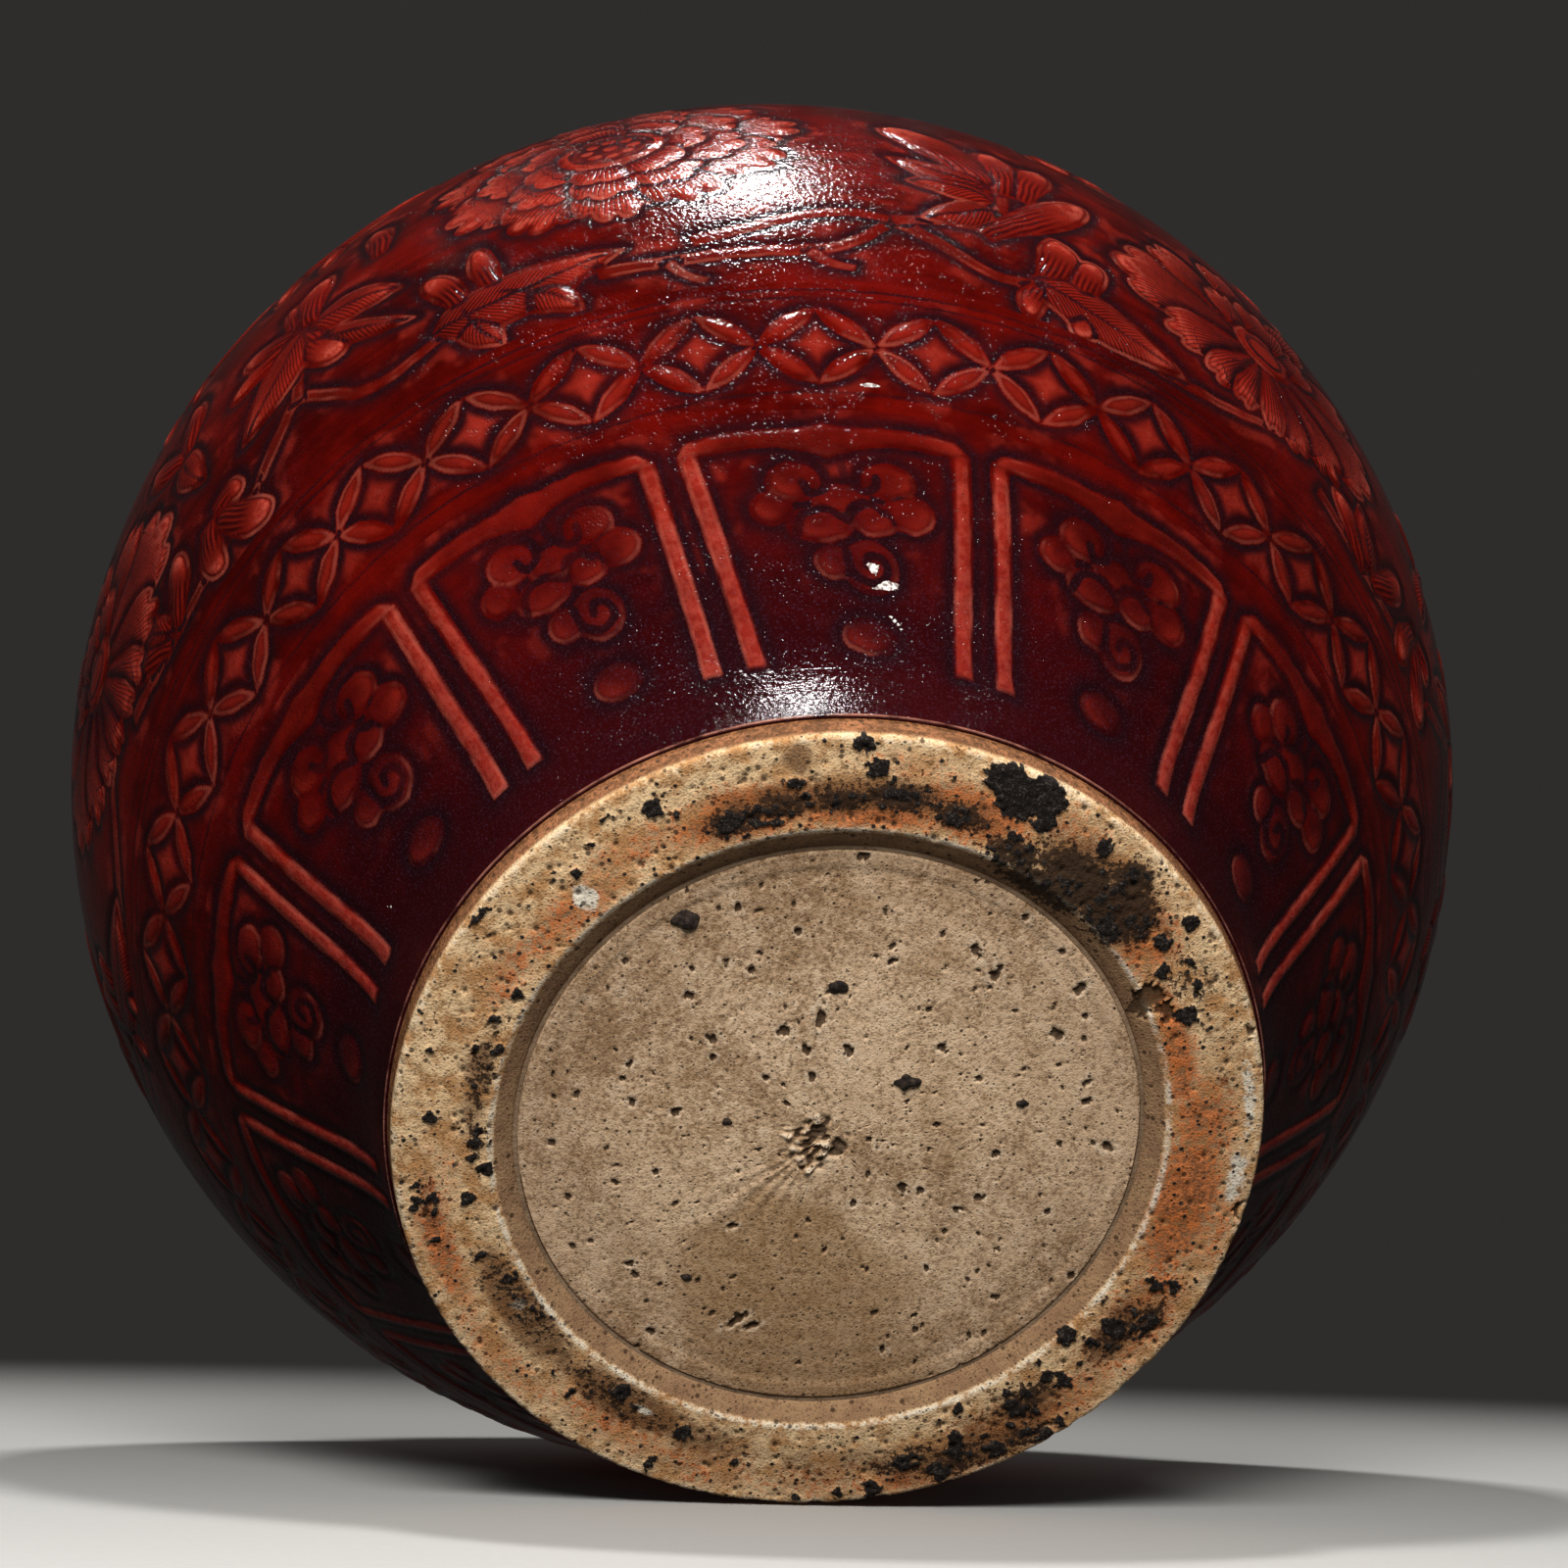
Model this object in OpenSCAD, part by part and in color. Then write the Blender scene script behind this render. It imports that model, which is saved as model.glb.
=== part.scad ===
// Glazed jar: a broad-shouldered storage jar with a carved, red-glazed outside.
// It is thrown in sections, luted together with slip, carved, glazed and fired.
// Millimetres, +Z up, the origin at the centre of the plane that the foot rests on.

/* [Foot] */
// Outer radius of the resting face
foot_r = 85; // [75:0.5:95]
// Width of the resting face
foot_w = 19; // [15:0.5:22]
// Height of the base above the resting face
recess_h = 3.5; // [2:0.25:5]
// How far the wall of the recess leans in on its way up to the base
recess_lean = 4.2; // [2:0.1:6]
// Height of the line where the outer glaze stops
glaze_line_z = 6.4; // [4:0.2:9]
// How far the bare outer wall of the foot leans out below that line
foot_lean = 1.6; // [0.8:0.1:3]

/* [Base disc] */
// Height of the narrow lower part of the disc, which shows in the recess
boss_h = 4; // [3:0.5:6]
// Height of the wide rim above it
rim_h = 6; // [4:0.5:9]
// How far the rim reaches over the ledge inside the foot ring
ledge_w = 8; // [5:0.5:10]

/* [Body] */
// Height of the glazed wall of the foot before the body flares out
foot_rise = 19.6; // [14:0.2:24]
// Lean of that wall from upright, in degrees
foot_rise_angle = 4; // [0:0.5:10]
// Radius where the flare above the foot turns into the belly curve
flare_r = 114; // [106:0.5:122]
// Height of that turn
flare_z = 51.5; // [46:0.5:58]
// Lean of the wall at the turn from upright, in degrees
flare_angle = 41; // [35:0.5:48]
// Reach of the flare below the turn
flare_reach = 26; // [20:0.5:32]
// Reach of the belly curve above the turn
turn_reach = 45; // [38:0.5:52]
// Largest radius of the jar
belly_r = 170.5; // [160:0.5:182]
// Height of the largest radius
belly_z = 178; // [166:0.5:190]
// Fullness of the belly below its largest radius
belly_reach_down = 55; // [45:0.5:65]
// Fullness of the belly above its largest radius
belly_reach_up = 40; // [32:0.5:46]
// Reach of the shoulder towards the neck
shoulder_reach = 40; // [30:0.5:48]
// Slope of the shoulder where it meets the neck, from level, in degrees
shoulder_angle = 25; // [18:0.5:32]
// Thickness of the clay wall
wall = 9; // [7:0.25:11]

/* [Neck] */
// Outer radius of the neck
neck_r = 98; // [90:0.5:106]
// Height of the neck, from the end of the shoulder's curve to the crest of the lip
neck_h = 22; // [20:0.5:28]
// Width of the hollow curve between the shoulder and the neck
neck_cove = 14; // [10:0.5:18]
// Radius of the rolled lip, without its glaze
lip_r = 6.3; // [5.6:0.1:7]
// Height of the jar
jar_h = 288; // [270:0.5:310]

/* [Glaze] */
// Thickness of the red glaze outside
outer_glaze_t = 0.7; // [0.4:0.1:1.2]
// Thickness of the pale glaze inside
inner_glaze_t = 0.5; // [0.3:0.1:1]

/* [Seams] */
// Thickness of the slip in every luted seam
slip_t = 0.8; // [0.5:0.1:1.5]
// Height of the step in the lapped seams
lap_h = 3; // [2:0.25:4]
// Height of the foot seam above the inside floor
foot_seam_rise = 4; // [2:0.5:7]
// Height of the neck seam above the top of the shoulder curve
neck_seam_rise = 2; // [1:0.25:3]

/* [Kiln grit] */
// Radius of the largest grain stuck to the base
grit_r = 2.6; // [1.5:0.1:3.4]
// How far the largest grain stands out of the base
grit_h = 1.2; // [0.6:0.1:1.6]

/* [Hidden] */
$fn = 96;
foot_steps = 8;
belly_steps = 12;
cove_steps = 5;
lip_steps = 10;

// Heights and radii that follow from the driving sizes
foot_in_r = foot_r - foot_w;
disc_r = foot_in_r - recess_lean - slip_t;
rim_r = disc_r + ledge_w;
rim_z = recess_h + boss_h;
floor_z = rim_z + rim_h;
glaze_r = foot_r + foot_lean;
foot_seam_z = floor_z + foot_seam_rise;
neck_z = jar_h - neck_h;
neck_seam_z = neck_z + neck_seam_rise;
clay_d = -outer_glaze_t;
cavity_d = clay_d - wall;
inside_d = cavity_d - inner_glaze_t;
mouth_r = neck_r + cavity_d;
lip_centre = [mouth_r + lip_r, jar_h - lip_r - outer_glaze_t];
far = belly_r * 2;

// Each grain's angle, its distance from the centre as a share of the disc, and its relative size
grains = [[235, 0.9, 1], [318, 0.3, 0.9], [267, 0.53, 0.75], [347, 0.62, 0.45], [128, 0.69, 0.4], [186, 0.34, 0.4]];

// A point of a smooth curve with two end points and two handles
function curve_point(c, t) =
    pow(1 - t, 3) * c[0] + 3 * pow(1 - t, 2) * t * c[1] + 3 * (1 - t) * t * t * c[2] + pow(t, 3) * c[3];

// The outward unit normal of that curve
function curve_normal(c, t) =
    let (d = pow(1 - t, 2) * (c[1] - c[0]) + 2 * (1 - t) * t * (c[2] - c[1]) + t * t * (c[3] - c[2]))
    [d[1], -d[0]] / norm(d);

// The curve's points, moved out by d along its normals
function curve_points(c, steps, d) =
    [for (i = [0 : steps - 1]) curve_point(c, i / steps) + d * curve_normal(c, i / steps)];

// Directions in the section, as [radius, height]
function up(angle) = [sin(angle), cos(angle)];

// The four curves of the jar's glazed outline, from the glaze line to the neck
foot_end = [glaze_r, glaze_line_z];
turn = [flare_r, flare_z];
belly = [belly_r, belly_z];
shoulder_way = up(shoulder_angle - 90);
shoulder_end = [neck_r + neck_cove, neck_z - neck_cove];
neck_foot = [neck_r, neck_z];
foot_curve = [foot_end, foot_end + foot_rise * up(foot_rise_angle), turn - flare_reach * up(flare_angle), turn];
belly_curve = [turn, turn + turn_reach * up(flare_angle), belly - [0, belly_reach_down], belly];
shoulder_curve = [belly, belly + [0, belly_reach_up], shoulder_end - shoulder_reach * shoulder_way, shoulder_end];
cove_curve = [shoulder_end, shoulder_end + neck_cove / 2 * shoulder_way, neck_foot - [0, neck_cove / 2], neck_foot];

// The outline of the body up to the neck, moved out by d
function body_points(d) = concat(
    curve_points(foot_curve, foot_steps, d),
    curve_points(belly_curve, belly_steps, d),
    curve_points(shoulder_curve, belly_steps, d),
    curve_points(cove_curve, cove_steps, d),
    [[neck_r + d, neck_z]]);

// An arc of the rolled lip
function lip_points(r, from, to) =
    [for (i = [0 : lip_steps]) let (a = from + (to - from) * i / lip_steps) lip_centre + r * [cos(a), sin(a)]];

// The outside of the jar up to the crest of the lip, moved out by d from the glaze
function outside_points(d) =
    let (r = lip_r + outer_glaze_t + d)
    concat(body_points(d), lip_points(r, -acos((neck_r + d - lip_centre[0]) / r), 90));

// The inside of the jar down from the crest of the lip, with a coat of thickness t on the clay
function inside_points(t) =
    concat(body_points(cavity_d - t), lip_points(lip_r + t, 180, 90));

// Section of the hollow inside, with a coat of thickness t on the clay
module hollow(t) {
    intersection() {
        polygon(concat([[0, 0]], [[inside_points(t)[0][0], 0]], inside_points(t), [[lip_centre[0], far], [0, far]]));
        translate([0, floor_z + t]) square([far, far]);
    }
}

// Section of the base disc, grown by g at its edge and under its rim
module disc_section(g) {
    translate([0, recess_h]) square([disc_r + g, boss_h]);
    translate([0, rim_z - g]) square([rim_r + g, rim_h + g]);
}

// Section of the space under the base
module recess() {
    polygon([[0, -far], [foot_in_r, -far], [foot_in_r, 0], [disc_r + slip_t, recess_h], [0, recess_h]]);
}

// Section of all the clay of the wall, from the resting face to the lip
module wall_section() {
    difference() {
        polygon(concat([[0, 0], [foot_r, 0]], outside_points(clay_d), [[0, lip_centre[1] + lip_r]]));
        hollow(0);
        recess();
        disc_section(slip_t);
    }
}

// Section of the space below a lapped seam whose step is at radius r
module below(z, r) {
    translate([0, -far]) square([r - slip_t / 2, far + z + lap_h]);
    translate([0, -far]) square([far, far + z]);
}

// Section of the space below the slip in that seam, with the slip
module below_slip(z, r) {
    translate([0, -far]) square([r + slip_t / 2, far + z + lap_h + slip_t]);
    translate([0, -far]) square([far, far + z + slip_t]);
}

// Middle of the clay wall at height z
function wall_middle(z) =
    let (out = [for (p = body_points(clay_d)) [p[1], p[0]]], in = [for (p = body_points(cavity_d)) [p[1], p[0]]])
    (lookup(z, out) + lookup(z, in)) / 2;

// Radius of the step in each lapped seam
foot_seam_r = wall_middle(foot_seam_z);
belly_seam_r = wall_middle(belly_z);
neck_seam_r = wall_middle(neck_seam_z);

// Slip in a lapped seam, with the wall's own faces inside and out
module seam_slip(z, r) {
    rotate_extrude() difference() {
        intersection() {
            wall_section();
            below_slip(z, r);
        }
        below(z, r);
    }
}

// Round slab that closes the jar: its rim hangs on the foot ring's ledge
module base_disc() {
    color("tan") rotate_extrude() disc_section(0);
}

// Slip between the disc and the foot ring
module base_lute() {
    color("wheat") rotate_extrude() difference() {
        intersection() {
            disc_section(slip_t);
            square([far, floor_z]);
        }
        disc_section(0);
    }
}

// Turned ring that the jar stands on, with the ledge for the disc
module foot_ring() {
    color("burlywood") rotate_extrude() intersection() {
        wall_section();
        below(foot_seam_z, foot_seam_r);
    }
}

// Slip between the foot ring and the lower body
module foot_lute() {
    color("wheat") seam_slip(foot_seam_z, foot_seam_r);
}

// Thrown lower half of the body, up to the widest place
module lower_body() {
    color("linen") rotate_extrude() difference() {
        intersection() {
            wall_section();
            below(belly_z, belly_seam_r);
        }
        below_slip(foot_seam_z, foot_seam_r);
    }
}

// Slip between the two halves of the body
module belly_lute() {
    color("wheat") seam_slip(belly_z, belly_seam_r);
}

// Thrown upper half of the body: the shoulder up to the neck
module upper_body() {
    color("linen") rotate_extrude() difference() {
        intersection() {
            wall_section();
            below(neck_seam_z, neck_seam_r);
        }
        below_slip(belly_z, belly_seam_r);
    }
}

// Slip between the shoulder and the neck
module neck_lute() {
    color("wheat") seam_slip(neck_seam_z, neck_seam_r);
}

// Neck with its rolled lip
module neck_ring() {
    color("linen") rotate_extrude() difference() {
        wall_section();
        below_slip(neck_seam_z, neck_seam_r);
    }
}

// Red glaze over the outside, from just above the foot to the crest of the lip
module outer_glaze() {
    outside = outside_points(0);
    clay = outside_points(clay_d);
    color("firebrick") rotate_extrude()
        polygon(concat(outside, [for (i = [len(clay) - 1 : -1 : 0]) clay[i]]));
}

// Pale glaze over the inside, from the crest of the lip to the floor
module inner_glaze() {
    color("lavender") rotate_extrude() difference() {
        hollow(0);
        hollow(inner_glaze_t);
    }
}

// One grain of iron-rich grit, a low cap that is flat where it is stuck to the base
module grain(size) {
    r = grit_r * size;
    h = grit_h * size;
    ball_r = (r * r + h * h) / (2 * h);
    translate([0, 0, recess_h]) rotate_extrude() intersection() {
        translate([0, ball_r - h]) circle(ball_r);
        translate([0, -h]) square([r, h]);
    }
}

// Grains that the kiln left on the underside of the base
module kiln_grit() {
    color("black") for (g = grains)
        rotate(g[0]) translate([g[1] * disc_r, 0, 0]) grain(g[2]);
}

base_disc();
base_lute();
foot_ring();
foot_lute();
lower_body();
belly_lute();
upper_body();
neck_lute();
neck_ring();
outer_glaze();
inner_glaze();
kiln_grit();
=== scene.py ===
# %% [markdown]
# # A carved red jar, seen from its foot
# The jar is thrown clay under a thick copper-red glaze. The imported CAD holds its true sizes: the foot, the
# base, the wall in sections and the coats of glaze. This lesson keeps those sizes and adds what the hand
# and the kiln did: carving, pooled glaze, scorched clay and grit. Lengths are in millimetres and turn to
# metres last.

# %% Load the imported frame
import math

import bmesh
import bpy
import numpy as np
from mathutils import Matrix, Vector


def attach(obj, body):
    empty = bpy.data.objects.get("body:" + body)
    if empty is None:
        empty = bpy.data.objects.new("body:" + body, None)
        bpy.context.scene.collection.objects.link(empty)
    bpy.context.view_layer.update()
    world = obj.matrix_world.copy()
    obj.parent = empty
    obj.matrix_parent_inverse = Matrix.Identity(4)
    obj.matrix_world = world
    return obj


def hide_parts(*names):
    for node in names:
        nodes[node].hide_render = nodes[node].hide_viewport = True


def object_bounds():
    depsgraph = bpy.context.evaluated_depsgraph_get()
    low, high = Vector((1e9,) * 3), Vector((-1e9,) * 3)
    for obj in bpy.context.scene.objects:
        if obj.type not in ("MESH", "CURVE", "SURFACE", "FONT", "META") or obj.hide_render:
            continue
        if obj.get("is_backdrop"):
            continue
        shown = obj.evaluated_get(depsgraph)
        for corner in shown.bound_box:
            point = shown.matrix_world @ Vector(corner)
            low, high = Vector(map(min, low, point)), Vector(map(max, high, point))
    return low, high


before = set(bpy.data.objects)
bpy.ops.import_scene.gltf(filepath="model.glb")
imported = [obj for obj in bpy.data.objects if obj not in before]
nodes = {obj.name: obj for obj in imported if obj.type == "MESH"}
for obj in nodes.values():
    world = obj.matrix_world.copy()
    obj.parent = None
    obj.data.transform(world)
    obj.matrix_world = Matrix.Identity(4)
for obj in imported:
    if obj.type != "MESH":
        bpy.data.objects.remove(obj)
cad_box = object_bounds()
scene = bpy.context.scene
scene.view_settings.view_transform = "Standard"
MM = 0.001
print("CAD nodes:", ", ".join(sorted(nodes)))

# %% [markdown]
# ## The outline of the wall
# A thrown jar is a solid of revolution, so one curve describes it all. The curve is repeated from the CAD:
# four Bezier arcs and the roll of the lip. It could be traced from the CAD mesh, but a formula gives as
# many points as the carving needs. Places on the wall are told by their run: the way up the wall in mm,
# from the line where the glaze stops.

# %% Outline of the glazed wall
GLAZE_END = np.array([86.6, 6.4])
TURN = np.array([114.0, 51.5])
BELLY = np.array([170.5, 178.0])
SHOULDER_END = np.array([112.0, 252.0])
NECK_FOOT = np.array([98.0, 266.0])
LIP_CENTRE = np.array([94.6, 281.0])
LIP_R = 7.0
LIP_POINTS = 60
FOOT_LEAN = 4
FLARE_LEAN = 41
SHOULDER_LEAN = -65
# Each arc has its start, the length and lean of the handle there, the same for its end, and its end.
ARCS = [
    (GLAZE_END, 19.6, FOOT_LEAN, 26, FLARE_LEAN, TURN),
    (TURN, 45, FLARE_LEAN, 55, 0, BELLY),
    (BELLY, 40, 0, 40, SHOULDER_LEAN, SHOULDER_END),
    (SHOULDER_END, 7, SHOULDER_LEAN, 7, 0, NECK_FOOT),
]


def up(lean):
    """Direction in the section, as radius and height, for a lean from upright in degrees."""
    return np.array([math.sin(math.radians(lean)), math.cos(math.radians(lean))])


def bezier(a, b, c, d, count=240):
    """Points of a smooth curve from a to d with the handles b and c."""
    t = np.linspace(0, 1, count)[:, None]
    return (1 - t) ** 3 * a + 3 * (1 - t) ** 2 * t * b + 3 * (1 - t) * t**2 * c + t**3 * d


def arc(centre, radius, start, end, count=LIP_POINTS):
    """Points of an arc between two angles in degrees."""
    a = np.radians(np.linspace(start, end, count))
    return centre + radius * np.stack([np.cos(a), np.sin(a)], 1)


curves = [
    bezier(start, start + leave * up(lean), end - arrive * up(end_lean), end)
    for start, leave, lean, arrive, end_lean, end in ARCS
]
lip_start = -math.degrees(math.acos((NECK_FOOT[0] - LIP_CENTRE[0]) / LIP_R))
lip = arc(LIP_CENTRE, LIP_R, lip_start, 90)
wall_points = np.concatenate([curves[0], *[curve[1:] for curve in curves[1:]], lip])
wall_run = np.concatenate([[0], np.cumsum(np.hypot(*np.diff(wall_points, axis=0).T))])
wall_way = np.gradient(wall_points, wall_run, axis=0)
wall_out = np.stack([wall_way[:, 1], -wall_way[:, 0]], 1)
wall_out /= np.linalg.norm(wall_out, axis=1)[:, None]
TOP_RUN = wall_run[-1]


def wall_at(run, lift=0.0):
    """Radius and height of the wall at a run, lifted off the glaze's face along its normal."""
    r = np.interp(run, wall_run, wall_points[:, 0]) + lift * np.interp(run, wall_run, wall_out[:, 0])
    z = np.interp(run, wall_run, wall_points[:, 1]) + lift * np.interp(run, wall_run, wall_out[:, 1])
    return r, z


print(f"The wall runs {TOP_RUN:.0f} mm from the glaze line to the crest of the lip")

# %% [markdown]
# ## Camera
# The jar lies on its foot's edge and its belly, so the camera looks up at the standing jar from below. Its
# place was worked out from the ellipses of the foot in the photograph. Three vectors say it all: the eye, a
# point it looks at and which way is up in the picture.

# %% Camera at the photograph's view
EYE = Vector((-69.78, -259.13, -453.24)) * MM
AIM = Vector((-10.13, -54.49, 49.97)) * MM
PICTURE_UP = Vector((-0.0484, -0.9232, 0.3812))
LENS = 61.875
SENSOR = 36.0
NEAREST = 0.01

camera = bpy.data.objects.new("camera", bpy.data.cameras.new("camera"))
scene.collection.objects.link(camera)
scene.camera = camera
camera.data.lens = LENS
camera.data.sensor_width = SENSOR
camera.data.clip_start = NEAREST
back = (EYE - AIM).normalized()
right = PICTURE_UP.cross(back).normalized()
camera.matrix_world = Matrix.LocRotScale(EYE, Matrix((right, back.cross(right), back)).transposed(), None)
print("Camera", tuple(round(c, 3) for c in EYE), "metres")

# %% [markdown]
# ## A small kit for finishes
# Every finish is a node tree: noise for clouds and speckle, mixes for colours, masks that follow the
# carving. Building trees node by node is wordy, so there are two classes. A Wire is a value in the tree,
# and adding or multiplying wires adds Math nodes. A Finish is a material with one short method per kind of
# node: a wire or a plain number goes in, a wire comes out. Colours are written as 8-bit screen values,
# which are easy to compare with a photograph.

# %% Finish kit
NEAR_CORE = 0.2


def tone(red, green, blue):
    """A screen colour from 0 to 255 as the linear colour that the shader works in."""
    screen = (red / 255, green / 255, blue / 255)
    linear = [c / 12.92 if c <= 0.04045 else ((c + 0.055) / 1.055) ** 2.4 for c in screen]
    return (*linear, 1.0)


class Wire:
    """A value in a finish's node tree."""

    def __init__(self, finish, socket):
        self.finish = finish
        self.socket = socket

    def __add__(self, other):
        return self.finish.math("ADD", self, other)

    def __sub__(self, other):
        return self.finish.math("SUBTRACT", self, other)

    def __mul__(self, other):
        return self.finish.math("MULTIPLY", self, other)


class Finish:
    """A material and its node tree."""

    def __init__(self, name, roughness=0.5, specular=0.5):
        self.material = bpy.data.materials.new(name)
        self.material.use_nodes = True
        self.tree = self.material.node_tree
        self.shader = self.tree.nodes["Principled BSDF"]
        self.shader.inputs["Roughness"].default_value = roughness
        self.shader.inputs["Specular IOR Level"].default_value = specular
        self.paint = None
        self.place = self.node("TexCoord", {}, "Object")

    def feed(self, socket, value):
        """Links a socket to a wire, or sets a plain value."""
        if isinstance(value, Wire):
            self.tree.links.new(value.socket, socket)
        else:
            socket.default_value = value

    def node(self, kind, inputs, output, **settings):
        """Adds a node, sets it up, feeds its inputs, and gives one of its outputs."""
        node = self.tree.nodes.new("ShaderNode" + kind)
        for name, value in settings.items():
            setattr(node, name, value)
        for name, value in inputs.items():
            self.feed(node.inputs[name], value)
        return Wire(self, node.outputs[output])

    def attribute(self, name):
        """A value that the mesh carries at each vertex."""
        return self.node("Attribute", {}, "Fac", attribute_name=name)

    def math(self, operation, a, b=0.0):
        """One step of arithmetic."""
        return self.node("Math", {0: a, 1: b}, 0, operation=operation)

    def most(self, a, b):
        """The greater of two values."""
        return self.math("MAXIMUM", a, b)

    def ease(self, value, start, end):
        """0 at start, 1 at end, smooth in between. Start may lie above end."""
        falls = float(start > end)
        inputs = {"Value": value, "From Min": min(start, end), "From Max": max(start, end)}
        inputs.update({"To Min": falls, "To Max": 1 - falls})
        return self.node("MapRange", inputs, "Result", interpolation_type="SMOOTHSTEP")

    def near(self, value, middle, reach):
        """1 where value is at the middle, 0 where it is a reach away."""
        return self.ease(self.math("ABSOLUTE", value - middle), reach, reach * NEAR_CORE)

    def mix(self, share, a, b):
        """Colour a with a share of colour b."""
        return self.node("Mix", {0: share, 6: a, 7: b}, 2, data_type="RGBA")

    def stretch(self, x, y, z):
        """Object coordinates scaled along each axis, for streaks."""
        return self.node("Mapping", {"Vector": self.place, "Scale": (x, y, z)}, "Vector")

    def length(self, vector):
        """Length of a vector."""
        return self.node("VectorMath", {0: vector}, "Value", operation="LENGTH")

    def noise(self, size, detail=4.0, rough=0.5, at=None):
        """Cloudy noise whose patches are about size mm across."""
        inputs = {"Vector": at or self.place, "Scale": 1 / (size * MM), "Detail": detail, "Roughness": rough}
        return self.node("TexNoise", inputs, "Fac")

    def spots(self, size, start, end):
        """Spots about size mm apart: 0 at start, 1 at end, both as shares of size from a spot's middle."""
        apart = self.node("TexVoronoi", {"Vector": self.place, "Scale": 1 / (size * MM)}, "Distance")
        return self.ease(apart, start, end)

    def bump(self, height, depth):
        """Gives the shader a surface that rises depth mm where height is 1."""
        normal = self.node("Bump", {"Distance": depth * MM, "Height": height}, "Normal")
        self.feed(self.shader.inputs["Normal"], normal)

    def colour(self, value):
        """Sets the base colour."""
        self.paint = value
        self.feed(self.shader.inputs["Base Color"], value)

    def cover(self, share, value):
        """Covers the base colour with a share of another."""
        self.colour(self.mix(share, self.paint, value))

    def roughness(self, value):
        """Sets the roughness from a wire."""
        self.feed(self.shader.inputs["Roughness"], value)


print("Finish kit ready")

# %% [markdown]
# ## Carving as drawings on a sheet
# The carver cut the pattern into leather-hard clay with a slanted knife: a groove just outside each
# outline, a bevel up to the motif, and combed lines across petals and leaves. Each pattern is drawn here on
# a flat sheet whose x runs round the jar and whose y runs up the wall. The sheet keeps the height of the
# clay, the distance to the nearest cut, and the phase of the combing. Later the wall's vertices look up
# their place on the sheet. Modelling each petal as its own mesh would be the other way, but then nothing
# would pool round it as glaze does.

# %% Sheet of carving
PITCH = 0.4
REACH = 6.0
FAR_OFF = 9.0
ENDLESS = 1e9
TINY = 1e-12
GROOVE_W = 1.3
DEEPEST = 1.2
PILLOW = 4.0
SPLIT_W = 0.8
SPLIT_FAINT = 0.15
COMB_FADE = (0.3, 1.2)
SPLIT_FADE = (0.2, 1.2)


def smooth(low, high, value):
    """0 below low, 1 above high, smooth in between."""
    t = np.clip((value - low) / (high - low), 0, 1)
    return t * t * (3 - 2 * t)


def distance(x, y, points, closed):
    """Distance of each place from a line of points, and whether the closed line goes round it."""
    starts = points if closed else points[:-1]
    ends = np.roll(points, -1, 0) if closed else points[1:]
    nearest = np.full(x.shape, ENDLESS)
    within = np.zeros(x.shape, bool)
    for (ax, ay), (bx, by) in zip(starts, ends):
        ex, ey = bx - ax, by - ay
        t = np.clip(((x - ax) * ex + (y - ay) * ey) / (ex * ex + ey * ey + TINY), 0, 1)
        nearest = np.minimum(nearest, (x - ax - t * ex) ** 2 + (y - ay - t * ey) ** 2)
        crosses = (ay <= y) != (by <= y)
        within ^= crosses & (x < ax + (y - ay) * ex / (ey + (ey == 0)))
    return np.sqrt(nearest), within


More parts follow.
